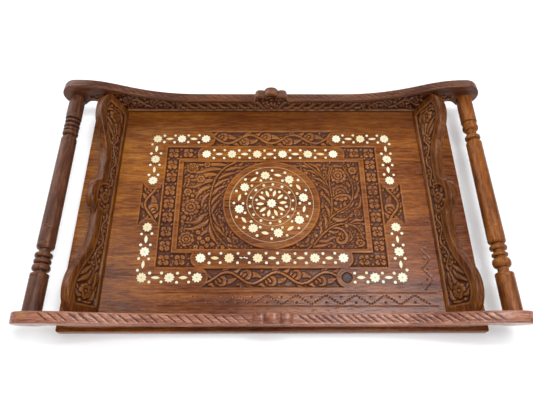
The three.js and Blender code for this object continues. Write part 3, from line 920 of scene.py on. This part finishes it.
def board_block(name, i0, i1, j0, j1):
    """One closed block of the carved face, from its grid columns i0..i1 and rows j0..j1."""
    part = (slice(j0, j1 + 1), slice(i0, i1 + 1))
    x, y = board.x[part], board.y[part]
    top = pairs(x, y, TOP + board_height[part]).reshape(-1, 3)
    cell = np.arange(x.size).reshape(x.shape)
    quads = pairs(cell[:-1, :-1], cell[:-1, 1:], cell[1:, 1:], cell[1:, :-1]).reshape(-1, 4)
    border = np.concatenate([cell[0, :-1], cell[:-1, -1], cell[-1, :0:-1], cell[:0:-1, 0]])
    under = top[border]
    under[:, 2] = BLOCK_FLOOR
    n, m = len(top), len(border)
    k = np.arange(m)
    following = (k + 1) % m
    sides = pairs(border[k], n + k, n + following, border[following])
    fan = pairs(np.full(m, n + m), n + following, n + k)
    verts = np.concatenate([top, under, [[x.mean(), y.mean(), BLOCK_FLOOR]]])
    obj = build(name, verts, np.concatenate([quads, sides]), fan)

    # The carved face is shaded by the whole board's slope, so no seam shows between two blocks.
    mesh = obj.data
    loops, polygons = len(mesh.loops), len(mesh.polygons)
    vertex, totals = np.empty(loops, int), np.empty(polygons, int)
    flat = np.empty(polygons * 3)
    mesh.loops.foreach_get("vertex_index", vertex)
    mesh.polygons.foreach_get("loop_total", totals)
    mesh.polygons.foreach_get("normal", flat)
    normals = np.repeat(flat.reshape(-1, 3), totals, axis=0)
    slope_y, slope_x = np.gradient(board_height, board.ys, board.xs)
    up = pairs(-slope_x[part], -slope_y[part], np.ones_like(x)).reshape(-1, 3)
    up /= np.linalg.norm(up, axis=1, keepdims=True)
    normals[: quads.size] = up[vertex[: quads.size]]
    mesh.normals_split_custom_set(normals.tolist())
    tones = {key: np.concatenate([board_tones[key][part].ravel(), np.zeros(m + 1)]) for key in TONE_NAMES}
    finish_piece(obj, board_wood, ["base_board"], tones=tones)


board_body()
last_i, last_j = len(board.xs) - 1, len(board.ys) - 1
i_left, i_right = (int(np.argmin(np.abs(board.xs - x))) for x in (-BLOCK_X, BLOCK_X))
j_front, j_back = (int(np.argmin(np.abs(board.ys - y))) for y in (-BLOCK_Y, BLOCK_Y))
for name, columns, rows in (
    ("field", (i_left, i_right), (j_front, j_back)),
    ("left_border", (0, i_left), (j_front, j_back)),
    ("right_border", (i_right, last_i), (j_front, j_back)),
    ("front_border", (0, last_i), (0, j_front)),
    ("back_border", (0, last_i), (j_back, last_j)),
):
    board_block(f"carved_{name}", *columns, *rows)


# ---------------------------------------------------------------- rails and walls


PADDLE = (203, 23.7, 15.3, 14.4)  # middle and radii of a rail's rounded end
CREST_CREASE = 7.4  # from the middle of the crest to a crease


def paddle_end(start, end):
    """Points along the rounded end of a rail, between two angles."""
    u, v, half_u, half_v = PADDLE
    a = np.radians(np.linspace(start, end, 60))
    return pairs(u + half_u * np.cos(a), v + half_v * np.sin(a))


rail_top_points = np.vstack(
    [
        bezier([(0, 27.8), (5.2, 27.8), (CREST_CREASE, 23.2)]),
        bezier([(CREST_CREASE, 23.2), (9.4, 24), (12.6, 23.7)]),
        bezier([(12.6, 23.7), (16.6, 23.6), (17.2, 18)]),
        bezier([(17.22, 18), (75, 18)], 4),
        bezier([(75, 18), (110, 18), (133, 23.2), (155, 29.8)]),
        bezier([(155, 29.8), (172, 35), (184, 38.3), (203, 38.1)]),
        paddle_end(90, 0),
    ]
)
rail_bottom_points = np.vstack(
    [
        [(0, 0), (171.99, 0)],
        bezier([(172, 0), (174, 10), (182, 15.6), (190, 15.6)]),
        bezier([(190, 15.6), (196, 15.6), (197, 9.3), (203, 9.3)]),
        paddle_end(-90, 0),
    ]
)


def by_x(points):
    """The height of a mirrored outline at a distance from its middle."""
    return lambda u: np.interp(np.abs(u), points[:, 0], points[:, 1])


rail_top, rail_bottom = by_x(rail_top_points), by_x(rail_bottom_points)

wall_top_points = np.vstack(
    [
        bezier([(0, 32), (10, 32), (14, 26.5)]),
        bezier([(14, 26.5), (15, 22), (22, 22)]),
        bezier([(22.02, 22), (36, 22)], 3),
        bezier([(36, 22), (62, 22), (72, 39.5), (92, 39.5)]),
        bezier([(92, 39.5), (106, 39.5), (116, 32), (122, 20)]),
    ]
)
wall_top = by_x(wall_top_points)


def outline_tree(*halves):
    """Nearest points of a mirrored outline, for the distance to its edge."""
    dense = [resample(half, 0.3) for half in halves]
    points = np.vstack([half * [sign, 1] for half in dense for sign in (1, -1)])
    tree = kdtree.KDTree(len(points))
    for i, (u, v) in enumerate(points):
        tree.insert((u, v, 0), i)
    tree.balance()
    return tree


NEAR_EDGE = np.array([0, 0.1, 0.35, 0.75, 1.2, 1.7])  # closer rows by the rounded edges
PLAIN_ROWS = 9  # rows up the outer face and across the top edge
UNSTRETCHED = 80.0  # only what lies further out is stretched to meet another board


def slab(columns, top, bottom, tree, thick, soft, relief, gouge, rows, end_y=None):
    """Rings round a board on edge: u along it, v up it and n through it, away from the tray's inside."""
    height = relief.heights()
    fields = height, cavity(height), relief.bare(height)
    rings, hollows, bares = [], [], []
    strip_n = np.linspace(soft, thick - soft, PLAIN_ROWS)
    crown = 0.25 * (1 - ((strip_n - thick / 2) / (thick / 2 - soft)) ** 2)
    for u in columns:
        low, high = float(bottom(u)), float(top(u))
        tall = high - low
        rim = NEAR_EDGE * min(1.0, tall / 5.0)

        def face(count, bite):
            """Rows up a face, where a cut in the top edge moves them to, and how far the edge rounds them in."""
            inner = np.linspace(rim[-1], tall - rim[-1], count)[1:-1]
            v = low + np.concatenate([rim, inner, tall - rim[::-1]])
            edge = np.clip(soft - np.array([tree.find((u, q, 0))[2] for q in v]), 0, soft)
            return v, v - bite * np.exp(-(((high - v) / 0.9) ** 2)), soft - np.sqrt(soft**2 - edge**2)

        bite = gouge(u, strip_n)
        bite_in, bite_out = gouge(u, np.array([0.0, thick]))
        v, v_in, inset_in = face(rows, bite_in)
        _, v_out, inset_out = face(PLAIN_ROWS, bite_out)
        h, hollow, bare = (relief.sample(f, np.full_like(v, u), v) for f in fields)
        inner_face = pairs(np.full_like(v, u), v_in, inset_in - h)
        outer_face = pairs(np.full_like(v_out, u), v_out, thick - inset_out)[::-1]
        top_strip = pairs(np.full(PLAIN_ROWS, u), high - 0.25 + crown - bite, strip_n)
        top_strip[0, 1] = max(top_strip[0, 1], v_in[-2])
        bottom_strip = pairs(np.full(3, u), np.full(3, low), np.linspace(thick - soft, soft, 5)[1:-1])
        rings.append(np.concatenate([inner_face[:-1], top_strip, outer_face[1:], bottom_strip]))
        rest = np.zeros(len(v_out) + 2)
        # The cuts in the top edge are stored as hollows, so painted shade darkens them.
        hollows.append(np.concatenate([hollow[:-1], -1.3 * bite, rest]))
        bares.append(np.concatenate([bare[:-1], 0 * bite, rest]))
    rings = np.array(rings)
    if end_y is not None:
        stretch = (end_y(rings[:, :, 1]) - UNSTRETCHED) / (np.abs(columns).max() - UNSTRETCHED)
        u = rings[:, :, 0]
        further = np.sign(u) * (UNSTRETCHED + (np.abs(u) - UNSTRETCHED) * stretch)
        rings[:, :, 0] = np.where(np.abs(u) > UNSTRETCHED, further, u)
    hollow, bare = (np.concatenate([np.ravel(t), [0, 0]]) for t in (hollows, bares))
    return *tube(rings), hollow, bare


PUTTY_RAIL, PUTTY_XY = "carved_front_rail", (-204.5, -119.5)  # a smear of pale filler


def put_slab(name, node, parts, outward, foot, lean, material, bareness):
    """Stands a slab on the board, leaning outward. outward is the side of the tray it stands on."""
    verts, quads, tris, hollow, bare = parts
    outward = np.array(outward, float)
    along = np.abs(outward[[1, 0, 2]])
    up = math.sin(lean) * outward + (0, 0, math.cos(lean))
    through = math.cos(lean) * outward - (0, 0, math.sin(lean))
    placed = foot * outward + (0, 0, TOP) + verts[:, :1] * along + verts[:, 1:2] * up + verts[:, 2:] * through
    bare = bare * bareness
    if name == PUTTY_RAIL:
        away = np.hypot((placed[:, 0] - PUTTY_XY[0]) / 4.2, (placed[:, 1] - PUTTY_XY[1]) / 2.6)
        bare += np.clip(1.3 - away, 0, 1) * (placed[:, 2] > TOP + 30)
    tones = {"hollow": hollow, "dark_marks": np.zeros(len(hollow)), "bare": bare}
    finish_piece(build(name, placed, quads, tris), material, [node], tones=tones)


def along_half(sign, middle):
    """Places a vine's points along one half of a face, about a height that changes along it."""
    return lambda p: pairs(sign * p[:, 0], middle(p[:, 0]) + p[:, 1])


RAIL_BORDER_FOOT, RAIL_BORDER_TOP, RAIL_PANEL_TOP, RAIL_PANEL_END = 3.0, 3.4, 26, 191


def rail_panel(u):
    """Lower and upper edge of a rail's carving."""
    return rail_bottom(u) + RAIL_BORDER_FOOT, np.minimum(rail_top(u) - RAIL_BORDER_TOP, RAIL_PANEL_TOP)


def rail_relief():
    """Rope and leaf carving on a rail's inner face."""
    relief = Relief((-219, 219), (-1, 40), 0.6, 2.0)
    u, v = relief.x, relief.y
    low, high = rail_panel(u)
    relief.carve(np.minimum(np.minimum(v - low, high - v), RAIL_PANEL_END - np.abs(u)))
    rope_pitch, rope_v = 11.0, 8.8
    for k in range(-9, 10):
        if k == 0:  # the fan of leaves under the crest
            continue
        x, lean = k * rope_pitch, 1 if k > 0 else -1
        turn = [(x + lean * du, rope_v + dv) for du, dv in ((-6.5, -4.2), (-2.5, -3.0), (2.5, 3.0), (6.5, 4.2))]
        relief.stroke(smooth_path(turn), 1.9, top=-0.1, crown=0.9, groove=0.4)
        relief.dome(x - lean * 2.6, rope_v + 3.3, 1.5, dimple=0.4)
        relief.dome(x + lean * 2.6, rope_v - 3.3, 1.5, dimple=0.4)
    for sx in (-1, 1):
        place = along_half(sx, lambda u: 0.5 * sum(rail_panel(u)))
        vine(relief, place, 106, 190, 4.2, 28, 3, 7.5, 0.9)
    for a in (30, 60, 90, 120, 150):
        relief.leaf(0, 4.2, a, 9.5, 4.0, top=-0.1, veins=0.2)
    relief.dome(0, 4.5, 2.0)
    relief.fill(np.random.default_rng(21), 1500, 3.6, lambda x, y: 40)
    creases = sum(np.exp(-(((u - c) / 0.8) ** 2)) for c in (-CREST_CREASE, CREST_CREASE))
    relief.cuts -= 0.3 * creases * smoothstep((v - 14.5) / 2.5)
    return relief


def rail_gouge(sign):
    """The slanting cuts of a rail's top edge and the creases of its crest, as a depth at u along and n across."""
    right_pitch, left_pitch, cuts_from, cuts_to = 6.6, 7.8, 20, 190
    power, lean, half_width = 1.0 if sign < 0 else 0.6, -1.3 * sign, 0.66
    rng = np.random.default_rng(31 if sign < 0 else 32)
    marks = []
    for k in range(-25, 30):
        at = (right_pitch if k > 0 else left_pitch) * k + rng.uniform(-0.7, 0.7)
        depth = rng.uniform(0.55, 0.95)
        if cuts_from <= abs(at) <= cuts_to:
            marks.append((at, depth))

    def gouge(u, n):
        total = np.zeros_like(n)
        fade = smoothstep((n - 0.4) / 1.6) * smoothstep((8.8 - n) / 2.4)
        for at, depth in marks:
            if abs(u - at) <= 9:
                off = (u - at - lean * (n - 5.0)) / half_width
                total = np.maximum(total, power * depth * fade * np.exp(-(off**2)))
        for c in (-CREST_CREASE, CREST_CREASE):
            if abs(u - c) < 4:
                total = total + 0.3 * math.exp(-(((u - c) / 0.8) ** 2))
        return total

    return gouge


rail_tree = outline_tree(rail_top_points, rail_bottom_points)
RAIL_STEP = 0.8
tip = PADDLE[0] + PADDLE[2] * np.sin(np.radians(np.linspace(0, 86.5, 22)))
half_columns = np.concatenate([np.arange(RAIL_STEP / 2, PADDLE[0] - 0.4, RAIL_STEP), tip])
rail_columns = np.concatenate([-half_columns[::-1], half_columns])
for side_name, sign, material in (("front", -1, front_sheen_wood), ("back", 1, back_shade_wood)):
    gouge = rail_gouge(sign)
    parts = slab(rail_columns, rail_top, rail_bottom, rail_tree, RAIL_THICK, 1.5, rail_relief(), gouge, 30)
    node = f"{side_name}_rail"
    put_slab(f"carved_{node}", node, parts, (0, sign, 0), RAIL_FOOT, RAIL_LEAN, material, 0.12)


WALL_BORDER_FOOT, WALL_BORDER_TOP, WALL_PANEL_END = 5.0, 7.6, 106


def wall_relief():
    """A sunk panel of leaves inside a wide plain border."""
    relief = Relief((-123, 123), (-1, 41), 0.55, 2.2)
    u, v = relief.x, relief.y
    upright = 1 / np.sqrt(1 + np.gradient(wall_top(relief.xs), relief.xs) ** 2)  # of the border's width
    from_top = (wall_top(u) - v) * upright - WALL_BORDER_TOP
    inside = np.minimum(np.minimum(v - WALL_BORDER_FOOT, from_top), WALL_PANEL_END - np.abs(u))
    relief.carve(inside)
    relief.limit = inside
    for s in (1, -1):
        place = along_half(s, lambda u: 0.5 * (WALL_BORDER_FOOT + np.minimum(wall_top(u) - WALL_BORDER_TOP, 20)))
        vine(relief, place, 12, 76, 2.4, 26, 2, 6.6, 0.9)
        for points, width in (
            ([(74, 9), (80, 8), (88, 8), (97, 6)], 4.6),
            ([(74, 12), (81, 13), (88, 17), (92, 25)], 5.0),
            ([(75, 10), (83, 10), (92, 12), (99, 17)], 5.0),
            ([(74, 16), (80, 19), (84, 24), (88, 30)], 4.8),
            ([(92, 9), (98, 9), (102, 12), (104, 18)], 4.4),
            ([(70, 17), (76, 22), (80, 27), (83, 31)], 4.0),
        ):
            relief.blade([(s * x, y) for x, y in points], width)
        relief.rosette(s * 94, 18.5, 7.4)
        relief.blade([(s * 99, 23), (s * 97, 28), (s * 92, 31)], 4.0)
        relief.blade([(s * 103, 10), (s * 104, 15), (s * 103, 20)], 3.2)
    relief.rosette(0, 14, 6.2)
    for x, y, angle, bend in ((4, 19, 20, 2), (-4, 19, 160, -2), (5, 9, -8, 1), (-5, 9, 188, -1)):
        relief.leaf(x, y, angle, 9, 4, bend)
    relief.fill(np.random.default_rng(41), 1500, 4.6, lambda x, y: 30)
    return relief


def no_gouge(u, n):
    """A plain top edge."""
    return np.zeros_like(n)


def wall_end(v):
    """How far along a wall reaches at each height, to the leaning rails."""
    return RAIL_FOOT + v * math.cos(WALL_SPLAY) * math.tan(RAIL_LEAN) + 0.2


wall_tree = outline_tree(wall_top_points, np.array([(0, 0), (122, 0)], float))
WALL_STEP, WALL_END = 0.7, 114.6
half_columns = np.arange(WALL_STEP / 2, WALL_END, WALL_STEP)
wall_columns = np.concatenate([-half_columns[::-1], half_columns])
wall_parts = slab(
    wall_columns, wall_top, lambda u: 0.0, wall_tree, WALL_THICK, 1.6, wall_relief(), no_gouge, 46, wall_end
)
for side_name, sign, bareness in (("left", -1, 0.3), ("right", 1, 0.6)):
    name, node = f"carved_{side_name}_wall", f"{side_name}_side_wall"
    put_slab(name, node, wall_parts, (sign, 0, 0), WALL_FOOT, WALL_SPLAY, wall_wood, bareness)


# ---------------------------------------------------------------- turned spindles


def simplified(points, tolerance):
    """Drops the points of a profile that lie close to the line between their neighbours."""
    keep = [0, len(points) - 1]
    stack = [(0, len(points) - 1)]
    while stack:
        a, b = stack.pop()
        if b - a < 2:
            continue
        line = points[b] - points[a]
        offset = points[a + 1 : b] - points[a]
        far = np.abs(line[0] * offset[:, 1] - line[1] * offset[:, 0]) / np.hypot(*line)
        k = int(np.argmax(far))
        if far[k] > tolerance:
            keep.append(a + 1 + k)
            stack += [(a, a + 1 + k), (a + 1 + k, b)]
    return points[np.sort(keep)]


TENON_RADIUS = 4.9
GROOVE_DEPTH, GROOVE_HALF_WIDTH = 0.32, 0.45
SPINDLE_SIDES = 44


def spindle(name, node, side, barrels, beads, grooves, necks, material):
    """A handle spindle: round-ended barrels, beads and necks, then scribed lines."""
    y = np.linspace(-118, 118, 2400)
    radius = np.full_like(y, TENON_RADIUS)
    for start, end, r0, r1, soft in barrels:
        t = np.clip((y - start) / (end - start), 0, 1)
        swell = r0 + (r1 - r0) * t
        inset = np.minimum(y - start, end - y)
        shoulder = np.clip(1 - inset / (1.4 * soft), 0, 1)
        rounded = swell - soft * (1 - np.sqrt(1 - shoulder**2))
        radius = np.where(inset >= 0, np.maximum(radius, rounded), radius)
    for at, half, r in beads:
        q = (y - at) / half
        round_bead = r - 0.62 * half * (1 - np.sqrt(np.clip(1 - q**2, 0, 1)))
        radius = np.where(np.abs(q) < 1, np.maximum(radius, round_bead), radius)
    for at, half, r in necks:
        q = np.clip(np.abs(y - at) / half, 0, 1)
        radius = np.where(q < 1, np.minimum(radius, r + 1.6 * q**2), radius)
    for at in grooves:
        radius -= GROOVE_DEPTH * np.exp(-(((y - at) / GROOVE_HALF_WIDTH) ** 2))
    along, radius = simplified(pairs(y, radius), 0.035).T[:, :, None]
    a = np.arange(SPINDLE_SIDES) * TAU / SPINDLE_SIDES
    rings = pairs(side * SPINDLE_X + radius * np.cos(a), along + 0 * a, SPINDLE_Z + radius * np.sin(a))
    reach = RAIL_FOOT + (rings[:, :, 2] - TOP) * math.tan(RAIL_LEAN) + 1.2  # the ends stop inside the rails
    rings[:, :, 1] = np.clip(rings[:, :, 1], -reach, reach)
    finish_piece(build(name, *tube(rings)), material, [node], sharp=50)


# Barrels are (start, end, radius at each of them, softness); beads and necks are (middle, half length, radius).
spindle(
    "turned_right_spindle",
    "right_handle_spindle",
    1,
    barrels=[(83.6, 120, 7.8, 7.7, 0.7), (-50.5, 60.5, 7.9, 7.5, 2.2), (-120, -78.5, 8.1, 8.1, 0.9)],
    beads=[
        *((77.2, 3.2, 7.7), (65, 2.2, 7.4), (81.6, 1.6, 7.0), (-54.6, 2.0, 7.6)),
        *((-61.4, 1.5, 7.1), (-69, 4.4, 8.0), (58, 1.4, 7.6)),
    ],
    grooves=(86.8, 45, -34.7, -46, 90.5, -82),
    necks=[(71.4, 2.6, 5.0), (-75.3, 2.2, 4.8), (-58.2, 1.6, 5.2), (-64.0, 1.4, 5.2)],
    material=right_turned,
)
spindle(
    "turned_left_spindle",
    "left_handle_spindle",
    -1,
    barrels=[(87.2, 120, 7.8, 7.8, 0.8), (-56, 65, 7.9, 7.5, 2.2), (-120, -79.0, 8.1, 8.1, 0.9)],
    beads=[
        *((84, 1.7, 7.5), (78.6, 2.1, 7.6), (74, 1.8, 7.4), (69.6, 2.2, 7.6)),
        *((-62, 2.1, 7.8), (-67.6, 2.0, 7.6), (-73.6, 3.2, 7.9)),
    ],
    grooves=(90.5, -33, -36, -50, 58, -83),
    necks=[(76.3, 1.1, 5.6), (81.2, 1.3, 5.3), (-77.6, 1.6, 4.8), (-64.8, 1.2, 5.4)],
    material=left_turned,
)


# ---------------------------------------------------------------- inlay

INLAY_UNDER, INLAY_PROUD = 1.4, 0.1
inlay_rng = np.random.default_rng(17)


def inlay_piece(outline, x, y, angle, crown, tone, middle=0.0):
    """A flat piece of inlay from its outline about (0, 0), with a crowned top and its middle sunk or raised."""
    c, s = math.cos(angle), math.sin(angle)
    turned = np.asarray(outline) @ np.array([[c, s], [-s, c]])
    rings = [
        pairs(x + turned[:, 0] * share, y + turned[:, 1] * share, np.full(len(turned), TOP + z))
        for share, z in (
            (1.0, -INLAY_UNDER),
            (1.0, INLAY_PROUD - crown),
            (0.93, INLAY_PROUD - 0.3 * crown),
            (0.6, INLAY_PROUD),
            (0.22, INLAY_PROUD),
            (0.12, INLAY_PROUD + middle),
        )
    ]
    return *tube(rings), tone


def circle_points(radius, around):
    """Points of a ring whose radius may change round it."""
    a = np.arange(around) * TAU / around
    return pairs(radius * np.cos(a), radius * np.sin(a))


def flower_outline(radius, petals, rng):
    """A round of scalloped petals, a little uneven."""
    around = petals * 6
    a = np.arange(around) * TAU / around
    lobe = np.abs(np.cos(petals * a / 2)) ** 0.85
    wobble = 1 + 0.02 * np.sin(2 * a + rng.uniform(0, TAU)) + 0.012 * np.sin(5 * a + rng.uniform(0, TAU))
    return circle_points(radius * (0.75 + 0.25 * lobe) * wobble, around)


def lozenge_outline(half_length, half_width):
    """A pointed lozenge with curved sides."""
    t = np.linspace(-1, 1, 13)
    upper = pairs(half_length * t, half_width * (1 - t**2))
    return np.concatenate([upper, -upper[1:-1]])


def put_bone(name, parts, nodes=()):
    """Makes one piece of many parts of bone."""
    verts, quads, tris, tones = join_parts(parts)
    finish_piece(build(name, verts, quads, tris), bone_material, nodes, sharp=45, tones={"shade": tones})


groups = {"strip": [], "arm_and_corner": [], "medallion": []}
for name, x, y in FLOWERS:
    if name == LOST:
        continue
    group = "strip" if "_strip_" in name else "medallion"
    if "_arm_" in name or "_corner_" in name:
        group = "arm_and_corner"
    outline = flower_outline(FLOWER_RADIUS + 0.3, 9 if inlay_rng.random() < 0.5 else 10, inlay_rng)
    piece = inlay_piece(outline, x, y, inlay_rng.uniform(0, TAU), 0.14, inlay_rng.beta(1.2, 1.8), middle=-0.1)
    groups[group].append((name, piece))
for group, members in groups.items():
    put_bone(f"bone_flowers_{group}", [piece for _, piece in members], [name for name, _ in members])

BROKEN = (-26.8, -57.4)  # the lozenge that is in pieces
lozenge_parts = []
for x, y, angle in lozenges:
    tone = inlay_rng.beta(1.5, 1.5)
    if math.dist((x, y), BROKEN) < 1:
        for dx, dy, half in ((-2.3, 0.3, 1.9), (0.9, 0.5, 1.1), (3.0, -0.1, 1.3)):
            outline = lozenge_outline(half, 0.75)
            lozenge_parts.append(inlay_piece(outline, x + dx, y + dy, inlay_rng.uniform(-0.3, 0.3), 0.12, tone))
        continue
    size = 4.15 * inlay_rng.uniform(0.94, 1.03)
    outline = lozenge_outline(size, 1.55 * inlay_rng.uniform(0.9, 1.08))
    lozenge_parts.append(inlay_piece(outline, x, y, math.radians(angle + inlay_rng.uniform(-3, 3)), 0.12, tone))
put_bone("bone_lozenges", lozenge_parts)

dot_parts = []
for x, y in dots:
    if math.dist((x, y), LOST_XY) < 5.5:
        continue
    outline = circle_points(1.48 * inlay_rng.uniform(0.93, 1.05), 16)
    dx, dy = inlay_rng.uniform(-0.3, 0.3, 2)
    dot_parts.append(inlay_piece(outline, x + dx, y + dy, 0.0, 0.16, inlay_rng.beta(1.2, 2.0)))
put_bone("bone_dots", dot_parts)

WIRE_WIDTH, WIRE_POINTS = 0.6, 160
WIRE_SECTION = ((-0.5, -1.2), (-0.5, 0.0), (-0.3, 0.09), (0.3, 0.09), (0.5, 0.0), (0.5, -1.2))
for which, radius in (("outer", 41.5), ("middle", 24.4), ("inner", 18.9)):
    a = np.arange(WIRE_POINTS) * TAU / WIRE_POINTS
    wander = radius + 0.12 * np.sin(3 * a + radius) + 0.08 * np.sin(7 * a)
    rings = []
    for across, z in WIRE_SECTION:
        flat = circle_points(wander + across * WIRE_WIDTH, WIRE_POINTS)
        rings.append(np.column_stack([flat, np.full(WIRE_POINTS, TOP + z)]))
    quads = ring_faces(len(rings) + 1, WIRE_POINTS) % (len(rings) * WIRE_POINTS)
    wire = build(f"wire_{which}", np.concatenate(rings), quads)
    finish_piece(wire, wire_material, [f"wire_ring_{which}"], sharp=50)

# Kept CAD nodes only get their material.
for node_name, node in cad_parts.items():
    if "screw" in node_name or "pin" in node_name.split("_"):
        node.data.materials.clear()
        node.data.materials.append(steel_material)


# ---------------------------------------------------------------- stage, light and camera


FLOOR_HALF, FLOOR_Z = 30.0, -0.0002  # metres
floor_shader = Shader("pale_floor")
for socket, value in (
    ("Base Color", (0.8, 0.8, 0.8, 1)),
    ("Emission Color", (1, 1, 1, 1)),
    ("Emission Strength", 0.2),
    ("Roughness", 0.9),
):
    floor_shader.surface.inputs[socket].default_value = value
floor_mesh = bpy.data.meshes.new("floor")
corners = [(sx * FLOOR_HALF, sy * FLOOR_HALF, FLOOR_Z) for sx, sy in ((-1, -1), (1, -1), (1, 1), (-1, 1))]
floor_mesh.from_pydata(corners, [], [(0, 1, 2, 3)])
floor_mesh.materials.append(floor_shader.material)
link("floor", floor_mesh)

WHITE, SKY = (1, 1, 1), (0.92, 0.96, 1.0)
# Name, place, what it points at, size, watts and colour of each light, in metres.
for name, at, target, size, power, colour in (
    ("key", (-1.35, 1.15, 0.95), (0, 0, 0), (1.9, 1.4), 28.5, WHITE),
    ("back_fill", (0.7, 1.7, 0.8), (0, 0, 0), (1.6, 1.0), 9, WHITE),
    ("front_fill", (0.1, -1.4, 1.3), (0, 0, 0), (1.6, 1.0), 6, SKY),
    ("low_front", (0.0, -1.7, 0.4), (0, 0, 0.02), (2.0, 0.6), 11, SKY),
    ("right_fill", (1.5, -0.1, 1.15), (0, 0, 0), (1.2, 1.2), 5, WHITE),
    ("sheen_right", (0.46, 0.02, 1.45), (0.14, 0.05, 0), (0.46, 0.6), 12, SKY),
    ("sheen_front", (0.30, 0.22, 1.45), (0.1, 0.22, 0), (0.16, 0.6), 4.5, SKY),
    ("sheen_left", (-0.67, 0.35, 1.45), (-0.2, 0.35, 0), (0.35, 0.35), 2.5, SKY),
):
    lamp = bpy.data.lights.new(name, "AREA")
    lamp.shape = "RECTANGLE"
    lamp.size, lamp.size_y = size
    lamp.energy, lamp.color = power, colour
    light = link(name, lamp)
    light.location = at
    light.rotation_euler = (Vector(target) - Vector(at)).to_track_quat("-Z", "Y").to_euler()
world = bpy.data.worlds.new("studio")
world.use_nodes = True
background = world.node_tree.nodes["Background"]
background.inputs["Color"].default_value = (1, 1, 1, 1)
background.inputs["Strength"].default_value = 0.13
bpy.context.scene.world = world
bpy.context.scene.view_settings.view_transform = "Standard"

CAMERA_AT = (-7.33, -214.79, 437.43)
PITCH, YAW, ROLL = math.radians(63.046), math.radians(0.591), math.radians(0.526)
FOCAL_LENGTH, IMAGE_WIDTH, SENSOR_WIDTH = 484.74, 533, 36.0  # the first two in widths of a dot of the image
lens = bpy.data.cameras.new("camera")
lens.sensor_fit, lens.sensor_width = "HORIZONTAL", SENSOR_WIDTH
lens.lens = SENSOR_WIDTH * FOCAL_LENGTH / IMAGE_WIDTH
lens.clip_start, lens.clip_end = 0.01, 20
level = math.cos(PITCH)
forward = Vector((math.sin(YAW) * level, math.cos(YAW) * level, -math.sin(PITCH)))
level_right = Vector((math.cos(YAW), -math.sin(YAW), 0))
level_up = level_right.cross(forward)
right = math.cos(ROLL) * level_right + math.sin(ROLL) * level_up
up = -math.sin(ROLL) * level_right + math.cos(ROLL) * level_up
pose = Matrix((right, up, -forward)).transposed().to_4x4()
pose.translation = Vector(CAMERA_AT) * MM
camera = link("camera", lens)
camera.matrix_world = pose
bpy.context.scene.camera = camera

bpy.context.view_layer.update()
